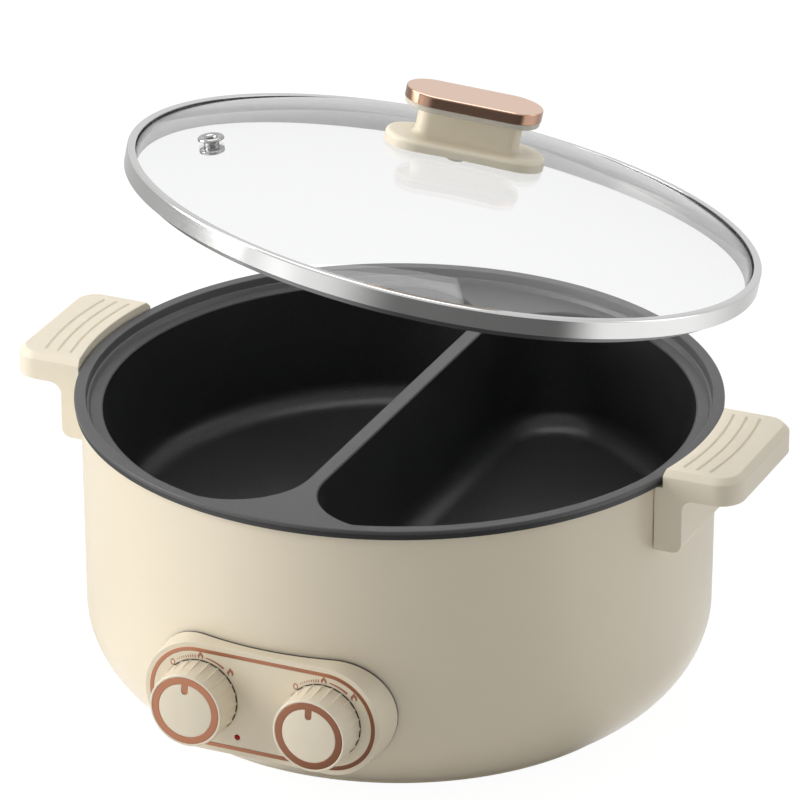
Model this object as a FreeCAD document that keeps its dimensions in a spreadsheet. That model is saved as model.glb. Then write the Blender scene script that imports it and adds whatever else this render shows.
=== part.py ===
import FreeCAD, Part
import math
import os

import Sketcher

from FreeCAD import Placement, Rotation, Vector

# Electric hot pot: a cream shell round a cast pot with two wells, two handles,
# a control panel with two rotary regulators, and a loose glass lid.
# Millimetres. The origin is on the pot's axis at the surface the feet stand on.
# The panel faces -Y, the handles are on X and the power inlet is on +Y.

SIZES = [
    ("foot_height", 3.0, "rubber foot below the base cover"),
    ("foot_radius", 9.0, "rubber foot at the floor"),
    ("foot_inset", 21.0, "feet inside the base cover's edge"),
    ("foot_stem_radius", 3.5, "stem that plugs into the base cover"),
    ("foot_count", 4.0, "rubber feet"),
    ("base_edge", 2.2, "thickness of the base cover's visible edge"),
    ("base_plate", 3.6, "thickness of the base cover inside its edge"),
    ("base_ring_height", 6.0, "ring that centres the base cover in the shell"),
    ("base_ring_wall", 2.2, "wall of that ring"),
    ("vent_length", 15.0, "ventilation slot in the base cover"),
    ("vent_width", 3.2, "ventilation slot in the base cover"),
    ("vent_circle", 58.0, "middle of the ventilation slots from the axis"),
    ("vent_count", 18.0, "ventilation slots"),
    ("body_height", 151.2, "underside of the base cover to the pot's lip"),
    ("corner_run", 36.6, "width of the rounded lower corner"),
    ("shell_taper", 1.1, "shell narrower where its corner meets the wall"),
    ("lip_overhang", 3.3, "pot's lip beyond the shell"),
    ("corner_rise", 42.0, "height of the rounded lower corner"),
    ("shell_wall", 2.0, "shell wall"),
    ("shell_flange", 9.0, "shell's lower flange"),
    ("rim_radius", 160.0, "outside of the pot's lip"),
    ("lip_width", 5.7, "width of the pot's flat lip"),
    ("lip_thickness", 2.2, "pot's lip"),
    ("collar_height", 2.8, "black collar between lip and shell"),
    ("collar_setback", 0.5, "collar inside the lip's edge"),
    ("collar_lap", 0.5, "inside of the collar inside the shell's edge"),
    ("step_width", 1.2, "small step inside the lip"),
    ("step_drop", 4.0, "lip down to the small step"),
    ("land_setback", 2.5, "edge of the land inside the lip"),
    ("land_drop", 6.5, "lip down to the land"),
    ("land_width", 5.0, "land between its edge and the wells"),
    ("divider_width", 6.6, "wall between the wells"),
    ("well_corner", 40.0, "corner of a well in plan"),
    ("pot_clearance", 76.5, "pot above the underside of the base cover"),
    ("well_draft", 3.0, "draft of the well walls in degrees"),
    ("well_floor_fillet", 12.0, "floor corner of a well"),
    ("pot_wall", 2.8, "cast wall round the wells"),
    ("pot_floor", 3.2, "cast floor under the wells"),
    ("well_lip_round", 1.3, "rounded mouth of a well"),
    ("pot_gap", 0.5, "pot shoulder inside the shell"),
    ("boss_circle", 80.0, "pot bosses from the axis"),
    ("boss_radius", 7.0, "pot boss"),
    ("boss_height", 9.0, "pot boss below the floor"),
    ("bolt_radius", 2.5, "bolt that holds the pot to the base"),
    ("bolt_head_radius", 4.6, "bolt head"),
    ("bolt_head_height", 1.6, "bolt head"),
    ("bolt_grip", 6.0, "bolt length in the pot boss"),
    ("bolt_count", 4.0, "pot bolts"),
    ("tube_radius", 6.0, "stand tube round each bolt"),
    ("reflector_thickness", 0.8, "sheet of the heat reflector"),
    ("reflector_setback", 7.8, "heat reflector inside the wells' outer wall"),
    ("reflector_rim", 5.0, "upturned edge of the heat reflector"),
    ("heater_centre", 72.0, "centre of a heater ring from the divider"),
    ("heater_ring_radius", 46.0, "middle of a heater ring"),
    ("heater_tube_radius", 3.9, "heater tube"),
    ("heater_turn", 300.0, "heater ring in degrees"),
    ("heater_tail", 20.0, "heater tail below the ring"),
    ("heater_pin_radius", 1.5, "heater terminal pin"),
    ("heater_pin_length", 9.0, "heater terminal pin"),
    ("limiter_radius", 8.0, "limit thermostat"),
    ("limiter_height", 12.0, "limit thermostat"),
    ("fuse_radius", 2.6, "thermal fuse"),
    ("fuse_length", 18.0, "thermal fuse"),
    ("panel_length", 121.4, "panel housing at its face"),
    ("panel_width", 54.2, "panel housing at its face"),
    ("panel_height", 54.6, "middle of the panel above the floor"),
    ("panel_stand", 6.7, "panel face in front of the shell"),
    ("panel_draft", 3.4, "draft of the panel housing in degrees"),
    ("panel_rim", 3.2, "cream rim round the copper line"),
    ("panel_depth", 26.0, "panel housing, face to back"),
    ("panel_ledge", 2.0, "ledge behind the fascia"),
    ("trim_width", 2.0, "copper line on the panel"),
    ("trim_sink", 0.3, "copper line below the cream rim"),
    ("fascia_step", 2.4, "raised middle of the fascia"),
    ("fascia_thickness", 2.6, "fascia plate"),
    ("knob_spacing", 64.8, "between the two knob axes"),
    ("knob_front_radius", 18.8, "knob at its front"),
    ("knob_base_radius", 19.4, "knob at its base"),
    ("knob_length", 16.8, "knob, base to front rim"),
    ("knob_gap", 0.7, "knob base off the fascia"),
    ("knob_wall", 2.4, "wall of the hollow knob"),
    ("knob_face", 3.0, "front wall of the knob"),
    ("knob_recess", 1.2, "front recess of the knob"),
    ("knob_rim", 1.3, "cream rim of the knob's front"),
    ("knob_hub_radius", 6.0, "hub on the shaft"),
    ("flute_count", 24.0, "grooves round a knob"),
    ("flute_width", 0.9, "groove on a knob"),
    ("flute_depth", 0.7, "groove on a knob"),
    ("pointer_width", 3.2, "copper pointer"),
    ("pointer_length", 4.4, "copper pointer inside the ring"),
    ("knob_ring_width", 3.4, "copper ring on a knob"),
    ("knob_ring_height", 1.0, "thickness of the copper ring on a knob"),
    ("disc_dome", 0.9, "rise of the knob's disc"),
    ("shaft_radius", 3.0, "regulator shaft"),
    ("shaft_reach", 12.6, "shaft in front of the fascia"),
    ("shaft_tail", 12.0, "shaft behind the fascia"),
    ("shaft_fit", 0.06, "running clearance of the shaft"),
    ("shaft_flat", 0.8, "flat on the D shaft"),
    ("bush_radius", 4.5, "threaded bush of a regulator"),
    ("bush_length", 5.0, "threaded bush of a regulator"),
    ("nut_radius", 7.5, "regulator nut across corners"),
    ("nut_height", 1.6, "regulator nut"),
    ("regulator_side", 32.0, "regulator housing"),
    ("regulator_depth", 17.0, "regulator housing"),
    ("lamp_offset_x", 13.2, "indicator left of the middle"),
    ("lamp_offset_z", 18.4, "indicator below the panel's middle"),
    ("lens_radius", 1.4, "indicator lens"),
    ("lens_flange", 2.8, "flange behind the fascia"),
    ("lamp_radius", 2.2, "indicator lamp"),
    ("lamp_length", 9.0, "indicator lamp"),
    ("handle_rise", 3.5, "handle top above the lip"),
    ("handle_thickness", 14.0, "handle plate"),
    ("handle_width", 82.0, "handle plate"),
    ("handle_length", 33.5, "handle beyond the lip"),
    ("handle_corner", 13.0, "handle corner in plan"),
    ("handle_chamfer", 3.0, "chamfer of the handle's top edge"),
    ("handle_leg_depth", 9.3, "handle's leg beyond the shell"),
    ("handle_leg_drop", 39.2, "lip down to the lower end of the handle's leg"),
    ("handle_leg_round", 5.0, "rounded lower end of the leg"),
    ("handle_inner_round", 6.0, "round between leg and plate"),
    ("handle_clearance", 1.0, "handle plate from the lip"),
    ("rib_start", 7.1, "first groove on a handle beyond the lip"),
    ("rib_pitch", 6.7, "between grooves on a handle"),
    ("rib_width", 1.4, "groove on a handle"),
    ("rib_depth", 0.9, "groove on a handle"),
    ("rib_half_span", 33.1, "end of a groove from the middle"),
    ("handle_screw_radius", 2.0, "handle screw"),
    ("handle_screw_head", 3.8, "handle screw head"),
    ("handle_screw_head_height", 2.2, "handle screw head"),
    ("handle_screw_grip", 7.0, "handle screw in the leg"),
    ("handle_screw_drop", 26.2, "lip down to the handle screws"),
    ("handle_screw_spacing", 48.0, "between the screws of a handle"),
    ("inlet_width", 30.0, "inlet body"),
    ("inlet_tall", 22.0, "inlet body"),
    ("inlet_flange", 5.0, "inlet flange beyond the body"),
    ("inlet_flange_thickness", 3.0, "inlet flange"),
    ("inlet_wall", 2.5, "inlet wall"),
    ("inlet_depth", 18.0, "inlet socket"),
    ("inlet_height", 56.0, "middle of the inlet above the floor"),
    ("inlet_round", 4.0, "inlet corners"),
    ("pin_width", 2.0, "inlet pin"),
    ("pin_tall", 4.0, "inlet pin"),
    ("pin_length", 13.0, "inlet pin in the socket"),
    ("pin_spacing", 7.0, "side pins from the middle pin"),
    ("pin_offset", 2.0, "side pins below and earth pin above the middle"),
    ("lid_setback", 2.3, "lid's steel band inside the lip's edge"),
    ("lid_band", 9.3, "height of the lid's steel band"),
    ("lid_flange", 4.0, "steel flange over the glass"),
    ("lid_sheet", 0.8, "steel of the lid's band"),
    ("lid_skirt_inset", 6.1, "lid's skirt inside its band"),
    ("lid_skirt", 4.0, "skirt below the band"),
    ("lid_seat_gap", 0.3, "closed lid above the lip"),
    ("glass_thickness", 4.0, "tempered glass"),
    ("glass_rise", 28.2, "top of the glass above the band"),
    ("vent_hole_radius", 118.3, "steam vent from the lid's axis"),
    ("vent_hole_angle", 187.2, "steam vent round from the knob's length"),
    ("eyelet_radius", 4.3, "tube of the steam vent"),
    ("eyelet_bore", 2.8, "bore of the steam vent"),
    ("eyelet_flange", 6.6, "flange of the steam vent"),
    ("grip_seat_length", 79.0, "foot of the lid knob"),
    ("grip_seat_width", 34.4, "foot of the lid knob"),
    ("grip_seat_edge", 4.2, "foot of the lid knob at its middle"),
    ("grip_neck_length", 51.5, "neck of the lid knob"),
    ("grip_neck_width", 13.0, "neck of the lid knob"),
    ("grip_neck_height", 14.6, "neck of the lid knob"),
    ("grip_blend", 3.0, "round between foot and neck"),
    ("grip_edge_round", 2.0, "upper edge of the foot"),
    ("grip_plate_length", 66.6, "plate under the cap"),
    ("grip_plate_width", 30.0, "plate under the cap"),
    ("grip_plate_height", 2.9, "plate under the cap"),
    ("cap_length", 67.6, "metal cap"),
    ("cap_width", 31.1, "metal cap"),
    ("cap_height", 5.8, "metal cap"),
    ("cap_round", 0.8, "upper edge of the metal cap"),
    ("lid_screw_radius", 2.5, "lid knob screw"),
    ("lid_screw_head", 5.5, "lid knob screw head"),
    ("lid_screw_grip", 14.0, "lid knob screw above the glass"),
    ("lid_washer_radius", 10.0, "washer under the glass"),
    ("lid_washer_thickness", 1.2, "washer under the glass"),
    ("glass_drop", 1.4, "edge of the glass below the flange of the band"),
    ("lid_tilt", 12.58, "tilt of the raised lid in degrees"),
    ("lid_tilt_towards", 50.0, "side the raised lid tilts to in degrees"),
    ("lid_spin", -28.5, "knob length from that side in degrees"),
    ("lid_shift", 25.1, "raised lid from the pot's axis, towards that side"),
    ("lid_lift", 95.3, "raised lid's upper edge above the lip"),
    ("seat_gap", 0.1, "gap between a piece and the seat it sits in"),
    ("part_gap", 0.3, "gap between curved faces of two pieces"),
    ("hole_gap", 0.3, "hole round a pin or screw, beyond its radius"),
]

doc = FreeCAD.newDocument("hot_pot")


def fill_sheet():
    sheet = doc.addObject("Spreadsheet::Sheet", "Sizes")
    for row, (alias, value, note) in enumerate(SIZES, start=1):
        sheet.set("A%d" % row, note)
        sheet.set("B%d" % row, repr(value))
        sheet.setAlias("B%d" % row, alias)
    doc.recompute()
    return sheet


class Size:
    """A length with its value and the spreadsheet expression behind it."""

    def __init__(self, value, text):
        self.value = value
        self.text = text

    def combine(self, other, sign, value):
        return Size(value, "(%s %s %s)" % (self.text, sign, other.text))

    def __add__(self, other):
        other = as_size(other)
        return self.combine(other, "+", self.value + other.value)

    def __sub__(self, other):
        other = as_size(other)
        return self.combine(other, "-", self.value - other.value)

    def __mul__(self, other):
        other = as_size(other)
        return self.combine(other, "*", self.value * other.value)

    def __truediv__(self, other):
        other = as_size(other)
        return self.combine(other, "/", self.value / other.value)

    def __radd__(self, other):
        return as_size(other) + self

    def __rsub__(self, other):
        return as_size(other) - self

    def __rmul__(self, other):
        return as_size(other) * self

    def __neg__(self):
        return as_size(0) - self


def as_size(number):
    if isinstance(number, Size):
        return number
    return Size(float(number), "(%r)" % float(number))


class Dimensions:
    """Every cell of the sheet, by its alias."""

    def __init__(self, sheet):
        for alias, value, note in SIZES:
            setattr(self, alias, Size(float(sheet.get(alias)), "Sizes." + alias))


d = Dimensions(fill_sheet())

# Levels and radii that several pieces share
rim_z = d.foot_height + d.body_height
shell_z = d.foot_height + d.base_edge
base_top_z = d.foot_height + d.base_plate
corner_z = shell_z + d.corner_rise
collar_top_z = rim_z - d.lip_thickness - d.seat_gap
shell_top_z = collar_top_z - d.collar_height
land_z = rim_z - d.land_drop
pot_bottom_z = d.foot_height + d.pot_clearance
well_floor_z = pot_bottom_z + d.pot_floor
well_depth = land_z - well_floor_z
boss_z = pot_bottom_z - d.boss_height

shell_top_radius = d.rim_radius - d.lip_overhang
shell_low_radius = shell_top_radius - d.shell_taper
shell_base_radius = shell_low_radius - d.corner_run
shell_flange_radius = shell_base_radius - d.shell_flange
foot_circle = shell_base_radius - d.foot_inset
collar_radius = d.rim_radius - d.collar_setback
collar_inner_radius = shell_top_radius - d.collar_lap
lip_inner_radius = d.rim_radius - d.lip_width
land_radius = lip_inner_radius - d.land_setback
step_radius = land_radius + d.step_width
well_radius = land_radius - d.land_width
pot_radius = well_radius + d.pot_wall
reflector_radius = well_radius - d.reflector_setback
lid_radius = d.rim_radius - d.lid_setback
lid_skirt_radius = lid_radius - d.lid_skirt_inset
panel_reach = shell_low_radius + d.panel_stand
handle_reach = d.rim_radius + d.handle_length
handle_leg_reach = shell_top_radius + d.handle_leg_depth
handle_leg_bottom = rim_z - d.handle_leg_drop
handle_screw_height = rim_z - d.handle_screw_drop
rib_first_radius = d.rim_radius + d.rib_start


def power(size):
    return size * size


def root(size):
    return Size(math.sqrt(size.value), "sqrt(%s)" % size.text)


def arc_radius(run, rise):
    """Radius of an arc that leaves a wall squarely and runs in by run over rise."""
    return (run * run + rise * rise) / (2 * run)


def new_body(label):
    body = doc.addObject("PartDesign::Body", label)
    body.Label = label
    body.AllowCompound = True
    return body


def origin_plane(body, role):
    return [f for f in body.Origin.OriginFeatures if f.Role == role][0]


def new_sketch(body, role, offset=0, aside=0):
    """A sketch on an origin plane, moved along its normal and along its own x."""
    sketch = body.newObject("Sketcher::SketchObject", body.Name + "_sketch")
    sketch.AttachmentSupport = (origin_plane(body, role), [""])
    sketch.MapMode = "FlatFace"
    offset, aside = as_size(offset), as_size(aside)
    sketch.AttachmentOffset = Placement(Vector(aside.value, 0, offset.value), Rotation())
    sketch.setExpression("AttachmentOffset.Base.x", aside.text)
    sketch.setExpression("AttachmentOffset.Base.z", offset.text)
    return sketch


def bind(sketch, kind, size, *target):
    """Add a dimension to a sketch and tie it to the sheet."""
    size = as_size(size)
    number = sketch.addConstraint(Sketcher.Constraint(kind, *target, size.value))
    sketch.setExpression("Constraints[%d]" % number, size.text)


def pin_point(sketch, geometry, end, x, y):
    for kind, axis, size in (("DistanceX", -2, as_size(x)), ("DistanceY", -1, as_size(y))):
        if size.value == 0:
            sketch.addConstraint(Sketcher.Constraint("PointOnObject", geometry, end, axis))
        else:
            bind(sketch, kind, size, -1, 1, geometry, end)


def chord_arc(start, stop, radius, turn):
    """An arc between two points. turn is 1 to the left and -1 to the right."""
    chord = stop - start
    middle = (start + stop) * 0.5
    side = Vector(-chord.y, chord.x, 0).normalize() * turn
    centre = middle + side * math.sqrt(radius ** 2 - (chord.Length / 2) ** 2)
    first, last = (start, stop) if turn > 0 else (stop, start)
    angles = [math.atan2(p.y - centre.y, p.x - centre.x) for p in (first, last)]
    return Part.ArcOfCircle(Part.Circle(centre, Vector(0, 0, 1), radius), *angles)


def outline(sketch, points, arcs=None):
    """A closed outline. arcs maps a segment to its radius and turn."""
    arcs = arcs or {}
    sizes = [(as_size(x), as_size(y)) for x, y in points]
    spots = [Vector(x.value, y.value, 0) for x, y in sizes]
    ends = []
    for i, start in enumerate(spots):
        stop = spots[(i + 1) % len(spots)]
        if i in arcs:
            radius, turn = arcs[i]
            shape = chord_arc(start, stop, as_size(radius).value, turn)
            number = sketch.addGeometry(shape, False)
            ends.append((number, 1, 2) if turn > 0 else (number, 2, 1))
        else:
            number = sketch.addGeometry(Part.LineSegment(start, stop), False)
            ends.append((number, 1, 2))
    for i, (number, start, stop) in enumerate(ends):
        following, next_start, _ = ends[(i + 1) % len(ends)]
        sketch.addConstraint(Sketcher.Constraint("Coincident", number, stop, following, next_start))
        pin_point(sketch, number, start, *sizes[i])
        if i in arcs:
            bind(sketch, "Radius", arcs[i][0], number)


def circle(sketch, x, y, radius):
    x, y, radius = as_size(x), as_size(y), as_size(radius)
    shape = Part.Circle(Vector(x.value, y.value, 0), Vector(0, 0, 1), radius.value)
    number = sketch.addGeometry(shape, False)
    pin_point(sketch, number, 3, x, y)
    bind(sketch, "Radius", radius, number)


def stadium(sketch, length, width, x=0, y=0, upright=False):
    """A slot outline with round ends, along x or, when upright, along y."""
    length, width, x, y = as_size(length), as_size(width), as_size(x), as_size(y)
    reach = (length - width) / 2
    radius = width / 2
    ends = []
    for sign in (1, -1):
        shift = (0, reach * sign) if upright else (reach * sign, 0)
        cx, cy = x + shift[0], y + shift[1]
        middle = 90 if upright else 0
        angle = math.radians(middle - 90 + (0 if sign > 0 else 180))
        ring = Part.Circle(Vector(cx.value, cy.value, 0), Vector(0, 0, 1), radius.value)
        arc = sketch.addGeometry(Part.ArcOfCircle(ring, angle, angle + math.pi), False)
        pin_point(sketch, arc, 3, cx, cy)
        bind(sketch, "Radius", radius, arc)
        ends.append(arc)
    for first, second in (ends, ends[::-1]):
        start = sketch.getPoint(first, 2)
        stop = sketch.getPoint(second, 1)
        line = sketch.addGeometry(Part.LineSegment(start, stop), False)
        sketch.addConstraint(Sketcher.Constraint("Tangent", first, 2, line, 1))
        sketch.addConstraint(Sketcher.Constraint("Tangent", line, 2, second, 1))


def rectangle(sketch, width, height, x=0, y=0):
    width, height, x, y = as_size(width), as_size(height), as_size(x), as_size(y)
    corners = [(-1, -1), (1, -1), (1, 1), (-1, 1)]
    outline(sketch, [(x + width / 2 * a, y + height / 2 * b) for a, b in corners])


def feature(body, kind, sketch, **values):
    item = body.newObject("PartDesign::" + kind, body.Name + "_" + kind.lower())
    item.Profile = sketch
    for name, value in values.items():
        if isinstance(value, Size):
            setattr(item, name, value.value)
            item.setExpression(name, value.text)
        else:
            setattr(item, name, value)
    sketch.Visibility = False
    return item


def revolve(body, sketch, kind="Revolution"):
    return feature(body, kind, sketch, ReferenceAxis=(sketch, ["V_Axis"]), Angle=360.0)


def pad(body, sketch, length, **values):
    return feature(body, "Pad", sketch, Length=as_size(length), **values)


def pocket(body, sketch, length=None, **values):
    if length is None:
        return feature(body, "Pocket", sketch, Type=1, **values)
    return feature(body, "Pocket", sketch, Length=as_size(length), **values)


def ring_of(body, item, count, plane_axis="Z_Axis"):
    """Repeat a feature evenly round the body's axis."""
    doc.recompute()
    pattern = body.newObject("PartDesign::PolarPattern", body.Name + "_pattern")
    pattern.Originals = [item]
    axis = [f for f in body.Origin.OriginFeatures if f.Role == plane_axis][0]
    pattern.Axis = (axis, [""])
    pattern.Angle = 360.0
    pattern.Occurrences = int(round(count.value))
    pattern.setExpression("Occurrences", count.text)
    body.Tip = pattern
    return pattern


def mirror_of(body, item, role):
    doc.recompute()
    copy = body.newObject("PartDesign::Mirrored", body.Name + "_mirror")
    copy.Originals = [item]
    copy.MirrorPlane = (origin_plane(body, role), [""])
    body.Tip = copy
    return copy


def edges_where(item, test):
    return ["Edge%d" % (i + 1) for i, edge in enumerate(item.Shape.Edges) if test(edge)]


def round_edges(body, test, radius, kind="Fillet"):
    """Fillet or chamfer the edges of the newest feature that pass the test."""
    doc.recompute()
    base = body.Tip
    item = body.newObject("PartDesign::" + kind, body.Name + "_" + kind.lower())
    item.Base = (base, edges_where(base, test))
    name = "Radius" if kind == "Fillet" else "Size"
    radius = as_size(radius)
    setattr(item, name, radius.value)
    item.setExpression(name, radius.text)
    return item


def near(value, size, slack=0.02):
    return abs(value - as_size(size).value) < slack


def flat_at(edge, axis, size, slack=0.02):
    """True when the whole edge lies in one plane square to an axis."""
    box = edge.BoundBox
    low, high = {"x": (box.XMin, box.XMax), "y": (box.YMin, box.YMax), "z": (box.ZMin, box.ZMax)}[axis]
    return near(low, size, slack) and near(high, size, slack)


# Shell and base


def make_outer_shell():
    body = new_body("outer_shell")
    sketch = new_sketch(body, "XZ_Plane")
    w = d.shell_wall
    outline(sketch, [
        (shell_base_radius, shell_z),
        (shell_low_radius, corner_z),
        (shell_top_radius, shell_top_z),
        (shell_top_radius - w, shell_top_z),
        (shell_low_radius - w, corner_z),
        (shell_base_radius, shell_z + w),
        (shell_flange_radius, shell_z + w),
        (shell_flange_radius, shell_z),
    ], {
        0: (arc_radius(d.corner_run, d.corner_rise), 1),
        4: (arc_radius(d.corner_run - w, d.corner_rise - w), -1),
    })
    revolve(body, sketch)
    panel = new_sketch(body, "XZ_Plane")
    margin = 2 * (d.panel_rim + d.panel_ledge)
    stadium(panel, d.panel_length - margin, d.panel_width - margin, 0, d.panel_height)
    pocket(body, panel, Reversed=True)
    inlet = new_sketch(body, "XZ_Plane")
    rectangle(inlet, d.inlet_width + 2 * d.hole_gap, d.inlet_tall + 2 * d.hole_gap, 0, d.inlet_height)
    pocket(body, inlet)
    for side in (1, -1):
        hole = new_sketch(body, "YZ_Plane")
        for across in (1, -1):
            circle(hole, d.handle_screw_spacing / 2 * across, handle_screw_height,
                   d.handle_screw_radius + d.hole_gap)
        pocket(body, hole, Reversed=side > 0)
    return body


def make_base_cover():
    body = new_body("base_cover")
    plate = new_sketch(body, "XZ_Plane")
    ring_outer = shell_flange_radius - d.part_gap
    ring_top = shell_z + d.base_ring_height
    edge = shell_base_radius - d.part_gap
    outline(plate, [
        (0, d.foot_height),
        (edge - 0.6, d.foot_height),
        (edge, d.foot_height + 0.6),
        (edge, shell_z - d.seat_gap),
        (ring_outer, shell_z - d.seat_gap),
        (ring_outer, ring_top),
        (ring_outer - d.base_ring_wall, ring_top),
        (ring_outer - d.base_ring_wall, base_top_z),
        (0, base_top_z),
    ])
    revolve(body, plate)
    slot = new_sketch(body, "XY_Plane", d.foot_height)
    stadium(slot, d.vent_length, d.vent_width, d.vent_circle, 0)
    ring_of(body, pocket(body, slot, Reversed=True), d.vent_count)
    stem = new_sketch(body, "XY_Plane", d.foot_height)
    circle(stem, foot_circle, 0, d.foot_stem_radius + d.seat_gap)
    ring_of(body, pocket(body, stem, Reversed=True), d.foot_count)
    sunk = new_sketch(body, "XY_Plane", d.foot_height)
    bolt_circles(sunk, d.bolt_head_radius + d.hole_gap)
    pocket(body, sunk, d.bolt_head_height + d.seat_gap, Reversed=True)
    holes = new_sketch(body, "XY_Plane", d.foot_height)
    bolt_circles(holes, d.bolt_radius + d.hole_gap)
    pocket(body, holes, Reversed=True)
    return body


def make_rubber_feet():
    body = new_body("rubber_feet")
    sketch = new_sketch(body, "XZ_Plane", 0, foot_circle)
    seat = d.foot_height - d.seat_gap
    outline(sketch, [
        (0, 0),
        (d.foot_radius - 1, 0),
        (d.foot_radius, seat),
        (d.foot_stem_radius, seat),
        (d.foot_stem_radius, base_top_z),
        (0, base_top_z),
    ])
    ring_of(body, revolve(body, sketch), d.foot_count)
    return body


def make_rim_collar():
    body = new_body("rim_collar")
    sketch = new_sketch(body, "XZ_Plane")
    low = shell_top_z + d.seat_gap
    outline(sketch, [
        (collar_inner_radius, low),
        (collar_radius, low),
        (collar_radius, collar_top_z),
        (collar_inner_radius, collar_top_z),
    ])
    revolve(body, sketch)
    return body


# Pot and heating parts


def well_outline(sketch, side):
    """One D-shaped well: the pot's round wall, the divider and two corners."""
    wall, corner = well_radius, d.well_corner
    edge = d.divider_width / 2
    cx = edge + corner
    cy = root(power(wall - corner) - power(cx))
    reach = wall / (wall - corner)
    spots = [
        (edge, -cy), (cx * reach, -(cy * reach)), (cx * reach, cy * reach), (edge, cy),
    ]
    points = [(x * side, y) for x, y in spots]
    outline(sketch, points, {0: (corner, side), 1: (wall, side), 2: (corner, side)})


def make_inner_pot():
    body = new_body("inner_pot")
    sketch = new_sketch(body, "XZ_Plane")
    shoulder = shell_top_radius - d.shell_wall - d.pot_gap
    waist = collar_inner_radius - d.part_gap
    shelf = shell_top_z + d.seat_gap
    lip = rim_z - d.lip_thickness
    outline(sketch, [
        (0, pot_bottom_z),
        (pot_radius, pot_bottom_z),
        (pot_radius, land_z - d.pot_wall),
        (shoulder, land_z - d.pot_wall),
        (shoulder, shelf),
        (waist, shelf),
        (waist, lip),
        (d.rim_radius, lip),
        (d.rim_radius, rim_z),
        (lip_inner_radius, rim_z),
        (step_radius + 0.6, rim_z - d.step_drop),
        (step_radius, rim_z - d.step_drop),
        (land_radius, land_z),
        (0, land_z),
    ])
    revolve(body, sketch)
    for side in (1, -1):
        well = new_sketch(body, "XY_Plane", land_z)
        well_outline(well, side)
        pocket(body, well, well_depth, TaperAngle=-d.well_draft)
        round_edges(body, lambda e: flat_at(e, "z", well_floor_z), d.well_floor_fillet)
    round_edges(body, lambda e: flat_at(e, "z", pot_bottom_z), d.well_floor_fillet + d.pot_wall / 2)
    round_edges(body, on_well_mouth, d.well_lip_round)
    bosses = new_sketch(body, "XY_Plane", boss_z)
    bolt_circles(bosses, d.boss_radius)
    pad(body, bosses, d.boss_height + 1)
    holes = new_sketch(body, "XY_Plane", boss_z)
    bolt_circles(holes, d.bolt_radius + d.hole_gap)
    pocket(body, holes, d.bolt_grip + 1, Reversed=True)
    return body


def on_well_mouth(edge):
    """True for the edges of the wells where they open in the land."""
    box = edge.BoundBox
    return flat_at(edge, "z", land_z) and box.DiagonalLength > 1 and not near(edge_reach(edge), land_radius)


def edge_reach(edge):
    return max(math.hypot(p.x, p.y) for p in edge.discretize(5))


def bolt_circles(sketch, radius):
    """Four circles on the bolt circle, halfway between the feet."""
    offset = d.boss_circle * math.sqrt(0.5)
    for a, b in ((1, 1), (-1, 1), (-1, -1), (1, -1)):
        circle(sketch, offset * a, offset * b, radius)


def make_pot_bolts():
    body = new_body("pot_bolts")
    head = new_sketch(body, "XY_Plane", d.foot_height + d.seat_gap)
    bolt_circles(head, d.bolt_head_radius)
    pad(body, head, d.bolt_head_height)
    shank = new_sketch(body, "XY_Plane", d.foot_height + d.seat_gap)
    bolt_circles(shank, d.bolt_radius)
    pad(body, shank, boss_z + d.bolt_grip - d.foot_height - d.seat_gap)
    return body


def make_stand_tubes():
    body = new_body("stand_tubes")
    outer = new_sketch(body, "XY_Plane", base_top_z)
    bolt_circles(outer, d.tube_radius)
    length = boss_z - d.reflector_thickness - base_top_z
    pad(body, outer, length)
    inner = new_sketch(body, "XY_Plane", base_top_z)
    bolt_circles(inner, d.bolt_radius + d.hole_gap)
    pocket(body, inner, Reversed=True)
    return body


def make_heat_reflector():
    body = new_body("heat_reflector")
    sketch = new_sketch(body, "XZ_Plane")
    sheet, edge = d.reflector_thickness, reflector_radius
    outline(sketch, [
        (0, boss_z - sheet),
        (edge, boss_z - sheet),
        (edge, boss_z + d.reflector_rim),
        (edge - sheet, boss_z + d.reflector_rim),
        (edge - sheet, boss_z),
        (0, boss_z),
    ])
    revolve(body, sketch)
    holes = new_sketch(body, "XY_Plane", boss_z)
    bolt_circles(holes, d.bolt_radius + d.hole_gap)
    for side in (1, -1):
        circle(holes, d.heater_centre * side, 0, d.limiter_radius + 1)
        for end in heater_ends():
            x, y = d.heater_centre * side + end[0], end[1]
            circle(holes, x, y, d.heater_tube_radius + 1.5)
    pocket(body, holes)
    return body


def heater_ends():
    """Both ends of a heater ring, from its own centre."""
    open_half = (360 - d.heater_turn) / 2
    for sign in (1, -1):
        angle = math.radians(90 + sign * open_half.value)
        turn = "(90 %s %s)" % ("+" if sign > 0 else "-", open_half.text)
        x = Size(d.heater_ring_radius.value * math.cos(angle),
                 "%s * cos(%s * 1 deg)" % (d.heater_ring_radius.text, turn))
        y = Size(d.heater_ring_radius.value * math.sin(angle),
                 "%s * sin(%s * 1 deg)" % (d.heater_ring_radius.text, turn))
        yield x, y


def primitive(kind, name, at=(0, 0, 0), **sizes):
    item = doc.addObject("Part::" + kind, name)
    for key, size in sizes.items():
        size = as_size(size)
        setattr(item, key, size.value)
        item.setExpression(key, size.text)
    for axis, size in zip("xyz", at):
        item.setExpression("Placement.Base." + axis, as_size(size).text)
    return item


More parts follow.
